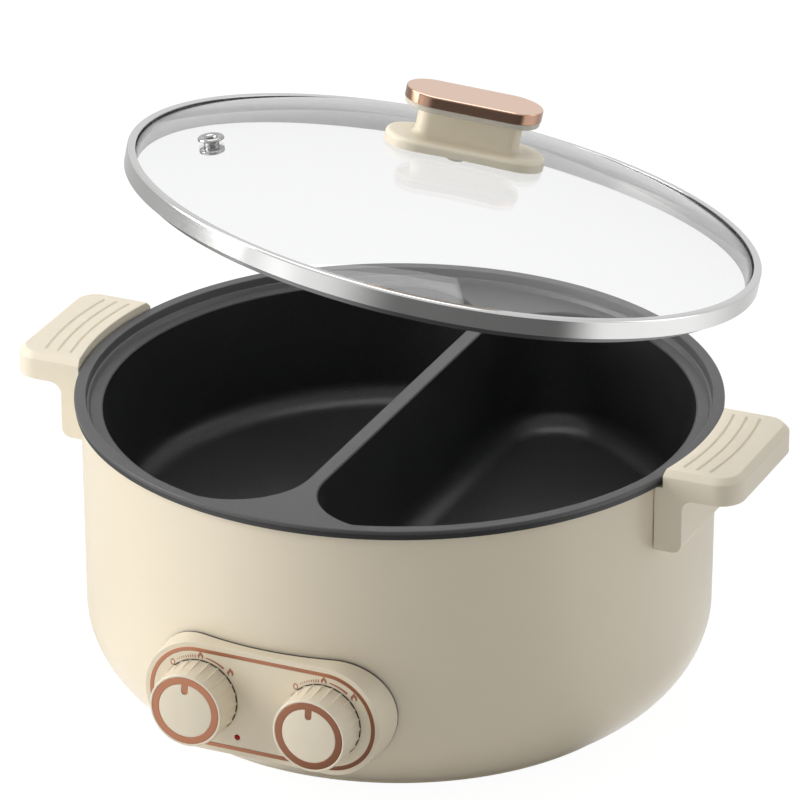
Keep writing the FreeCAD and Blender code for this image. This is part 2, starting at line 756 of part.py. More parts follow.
def make_heater(label, side):
    """A bent tubular heater, open towards the back, with its two tails and pins."""
    level = pot_bottom_z - d.heater_tube_radius - d.seat_gap
    centre = d.heater_centre * side
    ring = primitive("Torus", label + "_ring", (centre, 0, level), Radius1=d.heater_ring_radius,
                     Radius2=d.heater_tube_radius, Angle3=d.heater_turn)
    start = 90 + (360 - d.heater_turn) / 2
    ring.Placement.Rotation = Rotation(Vector(0, 0, 1), start.value)
    ring.setExpression("Placement.Rotation.Angle", start.text)
    pieces = [ring]
    for x, y in heater_ends():
        low = level - d.heater_tail
        spot = (centre + x, y)
        pieces.append(primitive("Sphere", label + "_elbow", (*spot, level), Radius=d.heater_tube_radius))
        pieces.append(primitive("Cylinder", label + "_tail", (*spot, low),
                                Radius=d.heater_tube_radius, Height=d.heater_tail))
        pieces.append(primitive("Cylinder", label + "_pin", (*spot, low - d.heater_pin_length),
                                Radius=d.heater_pin_radius, Height=d.heater_pin_length + 1))
    whole = doc.addObject("Part::MultiFuse", label)
    whole.Shapes = pieces
    whole.Label = label
    return whole


def make_limit_thermostats():
    body = new_body("limit_thermostats")
    sketch = new_sketch(body, "XZ_Plane", 0, d.heater_centre)
    top = pot_bottom_z - d.seat_gap
    outline(sketch, [
        (0, top - d.limiter_height),
        (d.limiter_radius - 1.2, top - d.limiter_height),
        (d.limiter_radius - 1.2, top - 4),
        (d.limiter_radius, top - 4),
        (d.limiter_radius, top),
        (0, top),
    ])
    revolve(body, sketch)
    tabs = new_sketch(body, "XY_Plane", top - d.limiter_height - 6)
    for side in (1, -1):
        rectangle(tabs, 0.8, 4, d.heater_centre + 3.5 * side, 0)
    whole = pad(body, tabs, 7)
    doc.recompute()
    copy = body.newObject("PartDesign::Mirrored", "limit_thermostats_mirror")
    copy.Originals = [f for f in body.Group if f.TypeId in ("PartDesign::Revolution", "PartDesign::Pad")]
    copy.MirrorPlane = (origin_plane(body, "YZ_Plane"), [""])
    body.Tip = copy
    return body


def make_thermal_fuse():
    body = new_body("thermal_fuse")
    level = pot_bottom_z - d.seat_gap - d.fuse_radius
    for radius, length in ((d.fuse_radius, d.fuse_length), (0.5, d.fuse_length + 20)):
        sketch = new_sketch(body, "XZ_Plane", -(length / 2) if isinstance(length, Size) else -length / 2)
        circle(sketch, 0, level, radius)
        pad(body, sketch, length)
    return body


# Control panel


face_y = panel_reach - d.trim_sink
flange_back = face_y - d.fascia_step - d.fascia_thickness
mouth_length = d.panel_length - 2 * d.panel_rim
mouth_width = d.panel_width - 2 * d.panel_rim


def shell_envelope(sketch, grow, low, high):
    """The shell's outer surface, moved out by grow, down to the axis."""
    outline(sketch, [
        (0, low),
        (shell_base_radius + grow, low),
        (shell_base_radius + grow, shell_z),
        (shell_low_radius + grow, corner_z),
        (shell_top_radius + grow, high),
        (0, high),
    ], {2: (arc_radius(d.corner_run, d.corner_rise), 1)})


def make_panel_housing():
    body = new_body("panel_housing")
    sketch = new_sketch(body, "XZ_Plane", panel_reach)
    stadium(sketch, d.panel_length, d.panel_width, 0, d.panel_height)
    pad(body, sketch, d.panel_depth, Reversed=True, TaperAngle=d.panel_draft)
    back = new_sketch(body, "XZ_Plane")
    shell_envelope(back, d.part_gap, shell_z - 30, shell_top_z)
    revolve(body, back, "Groove")
    mouth = new_sketch(body, "XZ_Plane", panel_reach)
    stadium(mouth, mouth_length, mouth_width, 0, d.panel_height)
    pocket(body, mouth, panel_reach - flange_back)
    inner = new_sketch(body, "XZ_Plane", panel_reach)
    stadium(inner, mouth_length - 2 * d.panel_ledge, mouth_width - 2 * d.panel_ledge, 0, d.panel_height)
    pocket(body, inner, d.panel_depth + 10)
    return body


def make_panel_fascia():
    body = new_body("panel_fascia")
    back = new_sketch(body, "XZ_Plane", flange_back)
    length, width = mouth_length - 2 * d.seat_gap, mouth_width - 2 * d.seat_gap
    stadium(back, length, width, 0, d.panel_height)
    pad(body, back, d.fascia_thickness)
    front = new_sketch(body, "XZ_Plane", flange_back)
    inset = 2 * (d.trim_width + d.seat_gap)
    stadium(front, length - inset, width - inset, 0, d.panel_height)
    pad(body, front, d.fascia_thickness + d.fascia_step)
    holes = new_sketch(body, "XZ_Plane", face_y + 5)
    for side in (1, -1):
        circle(holes, d.knob_spacing / 2 * side, d.panel_height, d.bush_radius + d.hole_gap)
    circle(holes, -d.lamp_offset_x, d.panel_height - d.lamp_offset_z, d.lens_radius + d.seat_gap)
    pocket(body, holes)
    return body


def make_panel_trim_ring():
    body = new_body("panel_trim_ring")
    ring = new_sketch(body, "XZ_Plane", flange_back + d.fascia_thickness)
    length, width = mouth_length - 2 * d.seat_gap, mouth_width - 2 * d.seat_gap
    stadium(ring, length, width, 0, d.panel_height)
    stadium(ring, length - 2 * d.trim_width, width - 2 * d.trim_width, 0, d.panel_height)
    pad(body, ring, d.fascia_step)
    return body


def at_knob(body, side):
    """Put a body modelled round the knob axis at its place on the fascia."""
    x = d.knob_spacing / 2 * side
    body.setExpression("Placement.Base.x", x.text)
    body.setExpression("Placement.Base.y", (-face_y).text)
    body.setExpression("Placement.Base.z", d.panel_height.text)
    return body


def make_regulator(label, side):
    body = new_body(label)
    back = d.fascia_thickness + d.fascia_step + d.seat_gap + d.regulator_depth
    box = new_sketch(body, "XZ_Plane", -back)
    rectangle(box, d.regulator_side, d.regulator_side)
    pad(body, box, d.regulator_depth)
    round_edges(body, lambda e: not flat_at(e, "y", back) and not flat_at(e, "y", back - d.regulator_depth), 3)
    bush = new_sketch(body, "XZ_Plane", -back)
    circle(bush, 0, 0, d.bush_radius)
    pad(body, bush, back + d.bush_length)
    bore = new_sketch(body, "XZ_Plane", d.bush_length)
    circle(bore, 0, 0, d.shaft_radius + d.shaft_fit)
    pocket(body, bore, d.bush_length + d.shaft_tail + 0.3)
    tabs = new_sketch(body, "XZ_Plane", -(back + 7))
    for spot in (1, -1):
        rectangle(tabs, 6.3, 0.8, 0, 8 * spot)
    pad(body, tabs, 8)
    return at_knob(body, side)


def make_shaft(label, side):
    body = new_body(label)
    sketch = new_sketch(body, "XZ_Plane", -d.shaft_tail)
    circle(sketch, 0, 0, d.shaft_radius)
    pad(body, sketch, d.shaft_tail + d.shaft_reach)
    flat = new_sketch(body, "XZ_Plane", d.shaft_reach)
    rectangle(flat, 2 * d.shaft_radius, d.shaft_flat * 2, 0, d.shaft_radius)
    pocket(body, flat, d.shaft_reach - d.bush_length - 1)
    return at_knob(body, side)


def make_regulator_nuts():
    body = new_body("regulator_nuts")
    sketch = new_sketch(body, "XZ_Plane", face_y + d.seat_gap)
    for side in (1, -1):
        x = d.knob_spacing / 2 * side
        half, flat = d.nut_radius / 2, d.nut_radius * math.sqrt(0.75)
        hexagon = [(d.nut_radius, 0), (half, flat), (-half, flat), (-d.nut_radius, 0), (-half, -flat), (half, -flat)]
        outline(sketch, [(x + px, d.panel_height + py) for px, py in hexagon])
        circle(sketch, x, d.panel_height, d.bush_radius + d.seat_gap)
    pad(body, sketch, d.nut_height)
    return body


def make_knob(label, side):
    body = new_body(label)
    sketch = new_sketch(body, "XY_Plane")
    front = d.knob_gap + d.knob_length
    floor = front - d.knob_recess
    inside = floor - d.knob_face
    bore = d.shaft_radius + d.seat_gap
    bore_end = d.shaft_reach + d.seat_gap
    hub = d.bush_length + 1
    cavity = d.knob_base_radius - d.knob_wall
    outline(sketch, [
        (d.knob_base_radius, -d.knob_gap),
        (cavity, -d.knob_gap),
        (cavity, -inside),
        (d.knob_hub_radius, -inside),
        (d.knob_hub_radius, -hub),
        (bore, -hub),
        (bore, -bore_end),
        (0, -bore_end),
        (0, -floor),
        (d.knob_front_radius - d.knob_rim, -floor),
        (d.knob_front_radius - d.knob_rim, -front),
        (d.knob_front_radius - 0.5, -front),
        (d.knob_front_radius, -(front - 0.6)),
    ])
    revolve(body, sketch)
    flute = new_sketch(body, "XZ_Plane", 0)
    rectangle(flute, d.flute_depth * 2, d.flute_width, d.knob_base_radius, 0)
    ring_of(body, pocket(body, flute, front - 2, Reversed=True), d.flute_count, "Y_Axis")
    return at_knob(body, side)


ring_radius = d.knob_front_radius - d.knob_rim - d.seat_gap
disc_radius = ring_radius - d.knob_ring_width
knob_floor = d.knob_gap + d.knob_length - d.knob_recess


def pointer_outline(sketch, grow):
    """The pointer: a round-ended tab that reaches in from the ring at the top."""
    length = d.pointer_length + d.knob_ring_width / 2 + grow
    middle = disc_radius + d.knob_ring_width / 2 - length / 2
    stadium(sketch, length + d.pointer_width / 2, d.pointer_width + 2 * grow, 0, middle, upright=True)


def make_knob_ring(label, side):
    body = new_body(label)
    ring = new_sketch(body, "XZ_Plane", knob_floor + d.seat_gap)
    circle(ring, 0, 0, ring_radius)
    circle(ring, 0, 0, disc_radius)
    pad(body, ring, d.knob_ring_height)
    tab = new_sketch(body, "XZ_Plane", knob_floor + d.seat_gap)
    pointer_outline(tab, 0)
    pad(body, tab, d.knob_ring_height)
    return at_knob(body, side)


def make_knob_disc(label, side):
    body = new_body(label)
    sketch = new_sketch(body, "XY_Plane")
    low = knob_floor + d.seat_gap
    edge = low + d.knob_ring_height
    radius = disc_radius - d.seat_gap
    dome = (radius * radius + d.disc_dome * d.disc_dome) / (2 * d.disc_dome)
    outline(sketch, [(0, -low), (0, -(edge + d.disc_dome)), (radius, -edge), (radius, -low)], {1: (dome, 1)})
    revolve(body, sketch)
    notch = new_sketch(body, "XZ_Plane", edge + 5)
    pointer_outline(notch, d.seat_gap)
    pocket(body, notch)
    return at_knob(body, side)


def make_indicator_lens():
    body = new_body("indicator_lens")
    sketch = new_sketch(body, "XY_Plane")
    back = d.fascia_thickness + d.fascia_step + d.seat_gap
    outline(sketch, [
        (0, back + 1),
        (0, -0.6),
        (d.lens_radius * 0.6, -0.4),
        (d.lens_radius, 0.1),
        (d.lens_radius, back),
        (d.lens_flange, back),
        (d.lens_flange, back + 1),
    ])
    revolve(body, sketch)
    return at_lamp(body)


def make_indicator_lamp():
    body = new_body("indicator_lamp")
    back = d.fascia_thickness + d.fascia_step + d.seat_gap + 1 + d.part_gap
    sketch = new_sketch(body, "XZ_Plane", -(back + d.lamp_length))
    circle(sketch, 0, 0, d.lamp_radius)
    pad(body, sketch, d.lamp_length)
    return at_lamp(body)


def at_lamp(body):
    body.setExpression("Placement.Base.x", (-d.lamp_offset_x).text)
    body.setExpression("Placement.Base.y", (-face_y).text)
    body.setExpression("Placement.Base.z", (d.panel_height - d.lamp_offset_z).text)
    return body


# Handles


handle_top = rim_z + d.handle_rise
handle_under = handle_top - d.handle_thickness
half_width = d.handle_width / 2


def make_handle(label, side):
    body = new_body(label)
    root_x = shell_low_radius - 15
    profile = new_sketch(body, "XZ_Plane", half_width)
    outline(profile, [
        (root_x, handle_leg_bottom),
        (handle_leg_reach, handle_leg_bottom),
        (handle_leg_reach, handle_under),
        (handle_reach, handle_under),
        (handle_reach, handle_top),
        (root_x, handle_top),
    ])
    pad(body, profile, d.handle_width, Reversed=True)
    round_edges(body, lambda e: flat_at(e, "x", handle_reach) and e.BoundBox.YLength < 0.1, d.handle_corner)
    leg = handle_leg_reach
    round_edges(body, lambda e: flat_at(e, "x", leg) and flat_at(e, "z", handle_under), d.handle_inner_round)
    round_edges(body, lambda e: flat_at(e, "x", leg) and flat_at(e, "z", handle_leg_bottom), d.handle_leg_round)
    round_edges(body, lambda e: flat_at(e, "z", handle_top) and not flat_at(e, "x", root_x),
                d.handle_chamfer, "Chamfer")
    inside = new_sketch(body, "XZ_Plane")
    wall = shell_top_radius + d.part_gap
    clear = d.rim_radius + d.handle_clearance
    ledge = shell_top_z - d.part_gap
    low, high = handle_leg_bottom - 10, handle_top + 10
    outline(inside, [(0, low), (wall, low), (wall, ledge), (clear, ledge), (clear, high), (0, high)])
    revolve(body, inside, "Groove")
    ribs = new_sketch(body, "XY_Plane", handle_top)
    for number in range(3):
        inner = rib_first_radius + d.rib_pitch * number - d.rib_width / 2
        outer = inner + d.rib_width
        span = d.rib_half_span
        x1, x2 = [root(power(r) - power(span)) for r in (inner, outer)]
        outline(ribs, [(x1, -span), (x2, -span), (x2, span), (x1, span)], {1: (outer, 1), 3: (inner, -1)})
    pocket(body, ribs, d.rib_depth)
    holes = new_sketch(body, "YZ_Plane", shell_top_radius - 8)
    handle_screw_circles(holes, d.handle_screw_radius + d.seat_gap)
    pocket(body, holes, d.handle_screw_grip + 8.5, Reversed=True)
    if side < 0:
        body.Placement.Rotation = Rotation(Vector(0, 0, 1), 180)
    return body


def handle_screw_circles(sketch, radius):
    for across in (1, -1):
        circle(sketch, d.handle_screw_spacing / 2 * across, handle_screw_height, radius)


def make_handle_screws():
    body = new_body("handle_screws")
    reach = d.handle_screw_spacing / 2 + d.handle_screw_head
    wall = shell_low_radius - d.shell_wall
    inside = root(power(wall) - power(reach)) - d.seat_gap
    head = new_sketch(body, "YZ_Plane", inside - d.handle_screw_head_height)
    handle_screw_circles(head, d.handle_screw_head)
    pad(body, head, d.handle_screw_head_height)
    shank = new_sketch(body, "YZ_Plane", inside - d.handle_screw_head_height)
    handle_screw_circles(shank, d.handle_screw_radius)
    end = shell_top_radius + d.handle_screw_grip
    pad(body, shank, end - inside)
    doc.recompute()
    copy = body.newObject("PartDesign::Mirrored", "handle_screws_mirror")
    copy.Originals = [f for f in body.Group if f.TypeId == "PartDesign::Pad"]
    copy.MirrorPlane = (origin_plane(body, "YZ_Plane"), [""])
    body.Tip = copy
    return body


# Power inlet


inlet_face = shell_low_radius + d.inlet_flange_thickness


def make_inlet_socket():
    body = new_body("inlet_socket")
    flange = new_sketch(body, "XZ_Plane", -inlet_face)
    rectangle(flange, d.inlet_width + 2 * d.inlet_flange, d.inlet_tall + 2 * d.inlet_flange, 0, d.inlet_height)
    pad(body, flange, 15)
    round_edges(body, lambda e: e.BoundBox.YLength > 5, d.inlet_round)
    back = new_sketch(body, "XZ_Plane")
    shell_envelope(back, d.part_gap, shell_z - 30, shell_top_z)
    revolve(body, back, "Groove")
    block = new_sketch(body, "XZ_Plane", -inlet_face)
    rectangle(block, d.inlet_width, d.inlet_tall, 0, d.inlet_height)
    pad(body, block, d.inlet_depth + d.inlet_wall)
    cavity = new_sketch(body, "XZ_Plane", -inlet_face)
    wall = 2 * d.inlet_wall
    rectangle(cavity, d.inlet_width - wall, d.inlet_tall - wall, 0, d.inlet_height)
    pocket(body, cavity, d.inlet_depth, Reversed=True)
    slots = new_sketch(body, "XZ_Plane", -inlet_face)
    inlet_pin_outlines(slots, d.seat_gap)
    pocket(body, slots, Reversed=True)
    return body


def inlet_pin_outlines(sketch, grow):
    for column, row in ((-1, -1), (0, 1), (1, -1)):
        x, z = d.pin_spacing * column, d.inlet_height + d.pin_offset * row
        rectangle(sketch, d.pin_width + 2 * grow, d.pin_tall + 2 * grow, x, z)


def make_inlet_pins():
    body = new_body("inlet_pins")
    tip = inlet_face - d.inlet_depth + d.pin_length
    sketch = new_sketch(body, "XZ_Plane", -tip)
    inlet_pin_outlines(sketch, 0)
    pad(body, sketch, d.pin_length + d.inlet_wall + 8)
    return body


# Lid


glass_edge_z = -(d.lid_sheet + d.part_gap + d.glass_drop)
glass_radius = lid_radius - d.lid_sheet - d.part_gap
dome_rise = d.glass_rise - glass_edge_z


def raised_lid():
    """Place of the raised lid, from its own frame at the top of its band."""
    turn = Rotation(Vector(0, 0, 1), d.lid_tilt_towards.value)
    tilt = Rotation(Vector(0, 1, 0), d.lid_tilt.value)
    spin = Rotation(Vector(0, 0, 1), d.lid_spin.value)
    raised = Vector(d.lid_shift.value, 0, (rim_z + d.lid_lift).value)
    return Placement(turn.multVec(raised), turn * tilt * spin)


def dome_radius(run, rise):
    return (run * run + rise * rise) / (2 * rise)


def make_lid_glass():
    body = new_body("lid_glass")
    hole = d.lid_screw_radius + 0.5
    thick = d.glass_thickness
    sketch = new_sketch(body, "XZ_Plane")
    radius = dome_radius(glass_radius - hole, dome_rise)
    outline(sketch, [
        (hole, d.glass_rise - thick),
        (glass_radius, glass_edge_z - thick),
        (glass_radius, glass_edge_z),
        (hole, d.glass_rise),
    ], {0: (radius, -1), 2: (radius, 1)})
    revolve(body, sketch)
    vent = new_sketch(body, "XY_Plane")
    vent.AttachmentOffset = vent_place()
    for axis in ("x", "z"):
        vent.setExpression("AttachmentOffset.Base." + axis, None)
    circle(vent, 0, 0, d.eyelet_radius + d.seat_gap)
    pocket(body, vent, d.glass_thickness * 3, Midplane=True)
    body.Placement = raised_lid()
    return body


def vent_place():
    """The steam vent's middle on top of the glass, square to the dome."""
    radius = dome_radius(glass_radius, dome_rise).value
    lean = math.asin(d.vent_hole_radius.value / radius)
    height = d.glass_rise.value - radius * (1 - math.cos(lean))
    round_to = Rotation(Vector(0, 0, 1), d.vent_hole_angle.value)
    spot = round_to.multVec(Vector(d.vent_hole_radius.value, 0, height))
    return Placement(spot, round_to * Rotation(Vector(0, 1, 0), math.degrees(lean)))


def make_lid_rim():
    body = new_body("lid_rim")
    sketch = new_sketch(body, "XZ_Plane")
    outer, sheet, skirt = lid_radius, d.lid_sheet, lid_skirt_radius
    shelf = glass_edge_z - d.glass_thickness - d.part_gap
    low = -d.lid_band
    outline(sketch, [
        (outer, low),
        (outer, -0.6),
        (outer - 0.6, 0),
        (outer - d.lid_flange, 0),
        (outer - d.lid_flange, -sheet),
        (outer - sheet, -sheet),
        (outer - sheet, shelf),
        (skirt - sheet, shelf),
        (skirt - sheet, low - d.lid_skirt),
        (skirt, low - d.lid_skirt),
        (skirt, shelf - sheet),
        (outer - sheet, shelf - sheet),
        (outer - sheet, low),
    ])
    revolve(body, sketch)
    body.Placement = raised_lid()
    return body


def make_steam_vent():
    body = new_body("steam_vent")
    sketch = new_sketch(body, "XZ_Plane")
    tube, bore, flange = d.eyelet_radius, d.eyelet_bore, d.eyelet_flange
    gap = d.part_gap
    low = -(d.glass_thickness + gap)
    outline(sketch, [
        (bore, low - 1),
        (flange - 1, low - 1),
        (flange - 1, low),
        (tube, low),
        (tube, gap),
        (flange, gap),
        (flange, gap + 0.8),
        (flange - 1.4, gap + 1.8),
        (bore + 0.8, gap + 1.8),
        (bore, gap + 1),
    ])
    revolve(body, sketch)
    body.Placement = raised_lid() * vent_place()
    return body


seat_top = d.glass_rise + d.part_gap + d.grip_seat_edge
neck_top = seat_top + d.grip_neck_height


def make_lid_knob_grip():
    body = new_body("lid_knob_grip")
    foot = new_sketch(body, "XY_Plane", d.glass_rise - 5)
    stadium(foot, d.grip_seat_length, d.grip_seat_width)
    pad(body, foot, seat_top - d.glass_rise + 5)
    round_edges(body, lambda e: flat_at(e, "z", seat_top), d.grip_edge_round)
    neck = new_sketch(body, "XY_Plane", seat_top - 1)
    stadium(neck, d.grip_neck_length, d.grip_neck_width)
    pad(body, neck, d.grip_neck_height + 1)
    reach = d.grip_neck_length / 2
    side = d.grip_neck_width / 2
    round_edges(body, lambda e: flat_at(e, "z", seat_top) and e.BoundBox.XMax < reach.value + 0.1
                and e.BoundBox.YMax < side.value + 0.1, d.grip_blend)
    under = new_sketch(body, "XZ_Plane")
    edge, gap = glass_radius, d.part_gap
    outline(under, [(0, -10), (edge, -10), (edge, glass_edge_z + gap), (0, d.glass_rise + gap)],
            {2: (dome_radius(edge, dome_rise), 1)})
    revolve(body, under, "Groove")
    hole = new_sketch(body, "XY_Plane", d.glass_rise)
    circle(hole, 0, 0, d.lid_screw_radius + d.seat_gap)
    pocket(body, hole, d.lid_screw_grip + 1.5, Reversed=True)
    body.Placement = raised_lid()
    return body


def make_lid_knob_plate():
    body = new_body("lid_knob_plate")
    sketch = new_sketch(body, "XY_Plane", neck_top)
    stadium(sketch, d.grip_plate_length, d.grip_plate_width)
    pad(body, sketch, d.grip_plate_height)
    round_edges(body, lambda e: flat_at(e, "z", neck_top), 1)
    body.Placement = raised_lid()
    return body


def make_lid_knob_cap():
    body = new_body("lid_knob_cap")
    sketch = new_sketch(body, "XY_Plane", neck_top + d.grip_plate_height)
    stadium(sketch, d.cap_length, d.cap_width)
    pad(body, sketch, d.cap_height)
    top = neck_top + d.grip_plate_height + d.cap_height
    round_edges(body, lambda e: flat_at(e, "z", top), d.cap_round)
    body.Placement = raised_lid()
    return body


washer_top = d.glass_rise - d.glass_thickness - d.part_gap


def make_lid_knob_washer():
    body = new_body("lid_knob_washer")
    sketch = new_sketch(body, "XY_Plane", washer_top - d.lid_washer_thickness)
    circle(sketch, 0, 0, d.lid_washer_radius)
    circle(sketch, 0, 0, d.lid_screw_radius + d.seat_gap)
    pad(body, sketch, d.lid_washer_thickness)
    body.Placement = raised_lid()
    return body


def make_lid_knob_screw():
    body = new_body("lid_knob_screw")
    sketch = new_sketch(body, "XZ_Plane")
    seat = washer_top - d.lid_washer_thickness - d.seat_gap
    end = d.glass_rise + d.lid_screw_grip
    outline(sketch, [
        (0, seat - 2.6),
        (d.lid_screw_head - 1.6, seat - 2.6),
        (d.lid_screw_head, seat - 1),
        (d.lid_screw_head, seat),
        (d.lid_screw_radius, seat),
        (d.lid_screw_radius, end),
        (0, end),
    ])
    revolve(body, sketch)
    body.Placement = raised_lid()
    return body


def pair(make, name):
    """The left and the right one of a sub-part."""
    return [lambda label="%s_%s" % (name, word), side=side: make(label, side)
            for word, side in (("left", -1), ("right", 1))]


# Every sub-part, in the order the pot goes together
PARTS = [
    make_outer_shell, make_base_cover, make_rubber_feet, make_pot_bolts, make_stand_tubes,
    make_heat_reflector, *pair(make_heater, "heater"), make_limit_thermostats, make_thermal_fuse,
    make_inner_pot, make_rim_collar,
    make_panel_housing, make_panel_fascia, make_panel_trim_ring, *pair(make_regulator, "regulator"),
    make_regulator_nuts, *pair(make_shaft, "regulator_shaft"), *pair(make_knob, "knob"),
    *pair(make_knob_ring, "knob_ring"), *pair(make_knob_disc, "knob_disc"),
    make_indicator_lens, make_indicator_lamp,
    *pair(make_handle, "handle"), make_handle_screws, make_inlet_socket, make_inlet_pins,
    make_lid_glass, make_lid_rim, make_steam_vent, make_lid_knob_grip, make_lid_knob_plate,
    make_lid_knob_cap, make_lid_knob_washer, make_lid_knob_screw,
]


def check_and_write(bodies):
    doc.recompute()
    for item in doc.Objects:
        if {"Invalid", "Error"} & set(item.State):
            raise RuntimeError("%s failed: %s" % (item.Name, item.State))
    os.makedirs("parts", exist_ok=True)
    for body in bodies:
        shape = body.Shape
        if shape.isNull() or not shape.isValid() or not shape.Solids:
            raise RuntimeError("%s has no valid solid" % body.Label)
        shape.exportStep(os.path.join("parts", body.Label + ".step"))
        print(body.Label, len(shape.Solids), "solids", round(shape.Volume), "mm3")


check_and_write([make() for make in PARTS])
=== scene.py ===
# Electric hot pot with a raised glass lid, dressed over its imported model.
# Meshes are drawn in millimetres and end up in metres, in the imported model's own frame.
import math

import bmesh
import bpy
from mathutils import Matrix, Vector


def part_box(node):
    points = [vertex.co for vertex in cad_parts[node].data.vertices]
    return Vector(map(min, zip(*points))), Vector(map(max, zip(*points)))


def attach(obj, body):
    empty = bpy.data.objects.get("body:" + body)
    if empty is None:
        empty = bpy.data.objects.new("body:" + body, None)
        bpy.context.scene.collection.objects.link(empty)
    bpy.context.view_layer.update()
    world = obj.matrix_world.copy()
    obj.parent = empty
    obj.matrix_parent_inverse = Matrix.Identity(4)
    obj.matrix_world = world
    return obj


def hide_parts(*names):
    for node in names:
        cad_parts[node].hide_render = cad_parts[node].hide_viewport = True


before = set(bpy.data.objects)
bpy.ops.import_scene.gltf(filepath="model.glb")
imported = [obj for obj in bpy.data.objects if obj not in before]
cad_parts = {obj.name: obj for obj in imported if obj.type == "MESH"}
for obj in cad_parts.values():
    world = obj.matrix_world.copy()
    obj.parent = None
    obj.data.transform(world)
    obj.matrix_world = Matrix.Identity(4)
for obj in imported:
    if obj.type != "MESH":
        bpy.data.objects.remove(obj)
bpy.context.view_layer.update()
scene = bpy.context.scene


# Outer shell
# One deep moulding in smooth cream plastic, 2 mm thick, with a wide rounded lower corner.
# Its wall widens a little upwards and its lower edge meets the base cover in a fine seam.
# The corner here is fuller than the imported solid's, as the photograph shows it.

shell_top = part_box("outer_shell")[1].z * 1000
shell_low = 5.2
wall_radius = 155.6
wall_start = 46.3
top_radius = 156.7
wall = 2.0
cream = (0.80, 0.715, 0.56)


def turned(points, steps=256, closed=True):
    """Turn an outline of radii and heights round Z; a third number rounds that corner."""
    bm = bmesh.new()
    verts = [bm.verts.new((point[0], 0, point[1])) for point in points]
    pairs = list(zip(verts, verts[1:] + verts[:1]))
    for a, b in pairs if closed else pairs[:-1]:
        bm.edges.new((a, b))
    for vert, point in zip(verts, points):
        if len(point) > 2:
            segments = 24 if point[2] > 5 else 5
            bmesh.ops.bevel(
                bm, geom=[vert], offset=point[2], offset_type="OFFSET", segments=segments,
                profile=0.5, affect="VERTICES", material=-1, clamp_overlap=False)
    return spun(bm, steps)


def spun(bm, steps=256):
    """Spin everything in a bmesh once round Z and close it."""
    bmesh.ops.spin(
        bm, geom=bm.verts[:] + bm.edges[:], cent=(0, 0, 0), axis=(0, 0, 1),
        angle=math.tau, steps=steps, use_merge=True)
    bmesh.ops.remove_doubles(bm, verts=bm.verts, dist=1e-4)
    bmesh.ops.recalc_face_normals(bm, faces=bm.faces)
    return bm


def finished(name, bm, material, body, nodes, angle=35):
    """Make a piece of a bmesh: finish it, let it ride, and stand it for its nodes."""
    mesh = bpy.data.meshes.new(name)
    bmesh.ops.transform(bm, matrix=Matrix.Scale(0.001, 4), verts=bm.verts)
    bm.to_mesh(mesh)
    bm.free()
    mesh.shade_smooth()
    mesh.set_sharp_from_angle(angle=math.radians(angle))
    piece = bpy.data.objects.new(name, mesh)
    scene.collection.objects.link(piece)
    mesh.materials.append(material)
    piece.modifiers.new("flat faces lead", "WEIGHTED_NORMAL").keep_sharp = True
    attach(piece, body)
    if nodes:
        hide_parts(*nodes)
    return piece


def effect(name, inputs, outputs):
    """A node group; returns it, the sockets that it is given and those of its result."""
    group = bpy.data.node_groups.new(name, "ShaderNodeTree")
    for label, kind, value in inputs:
        socket = group.interface.new_socket(
            label, in_out="INPUT", socket_type="NodeSocket" + kind)
        if value is not None:
            socket.default_value = value
    for label, kind in outputs:
        group.interface.new_socket(label, in_out="OUTPUT", socket_type="NodeSocket" + kind)
    start = group.nodes.new("NodeGroupInput")
    end = group.nodes.new("NodeGroupOutput")
    return group, start.outputs, end.inputs


def node(tree, kind, settings=None, **links):
    """Add a node. Its links are values or sockets, by the input's name or by i and its number."""
    made = tree.nodes.new("ShaderNode" + kind)
    for field, value in (settings or {}).items():
        setattr(made, field, value)
    for key, value in links.items():
        numbered = key[0] == "i" and key[1:].isdigit()
        socket = made.inputs[int(key[1:]) if numbered else key.replace("_", " ")]
        if isinstance(value, bpy.types.NodeSocket):
            tree.links.new(value, socket)
        else:
            socket.default_value = value
    return made


def calc(tree, operation, a, b=0.0):
    """One sum of two numbers or sockets."""
    return node(tree, "Math", {"operation": operation}, i0=a, i1=b).outputs[0]


moulding, given, result = effect(
    "Moulded surface",
    [("Colour", "Color", (0.8, 0.8, 0.8, 1)), ("Gloss", "Float", 0.35), ("Grain", "Float", 2600.0),
     ("Tone", "Float", 0.03)],
    [("Colour", "Color"), ("Roughness", "Float"), ("Height", "Float")])
spot = node(moulding, "TexCoord").outputs["Object"]
cloud = node(moulding, "TexNoise", Vector=spot, Scale=14.0, Detail=3.0).outputs["Fac"]
smear = node(
    moulding, "TexNoise", Vector=spot, Scale=55.0, Detail=5.0, Roughness=0.6).outputs["Fac"]
grain = node(moulding, "TexNoise", Vector=spot, Scale=given["Grain"], Detail=2.0).outputs["Fac"]
drift = calc(moulding, "MULTIPLY", calc(moulding, "SUBTRACT", cloud, 0.5), given["Tone"])
lightness = calc(moulding, "ADD", 1.0, drift)
shade = node(
    moulding, "VectorMath", {"operation": "SCALE"}, i0=given["Colour"], Scale=lightness)
moulding.links.new(shade.outputs[0], result["Colour"])
spread = calc(moulding, "MULTIPLY", calc(moulding, "SUBTRACT", smear, 0.5), 0.10)
moulding.links.new(calc(moulding, "ADD", given["Gloss"], spread), result["Roughness"])
relief = calc(moulding, "ADD", grain, calc(moulding, "MULTIPLY", smear, 2.0))
moulding.links.new(relief, result["Height"])


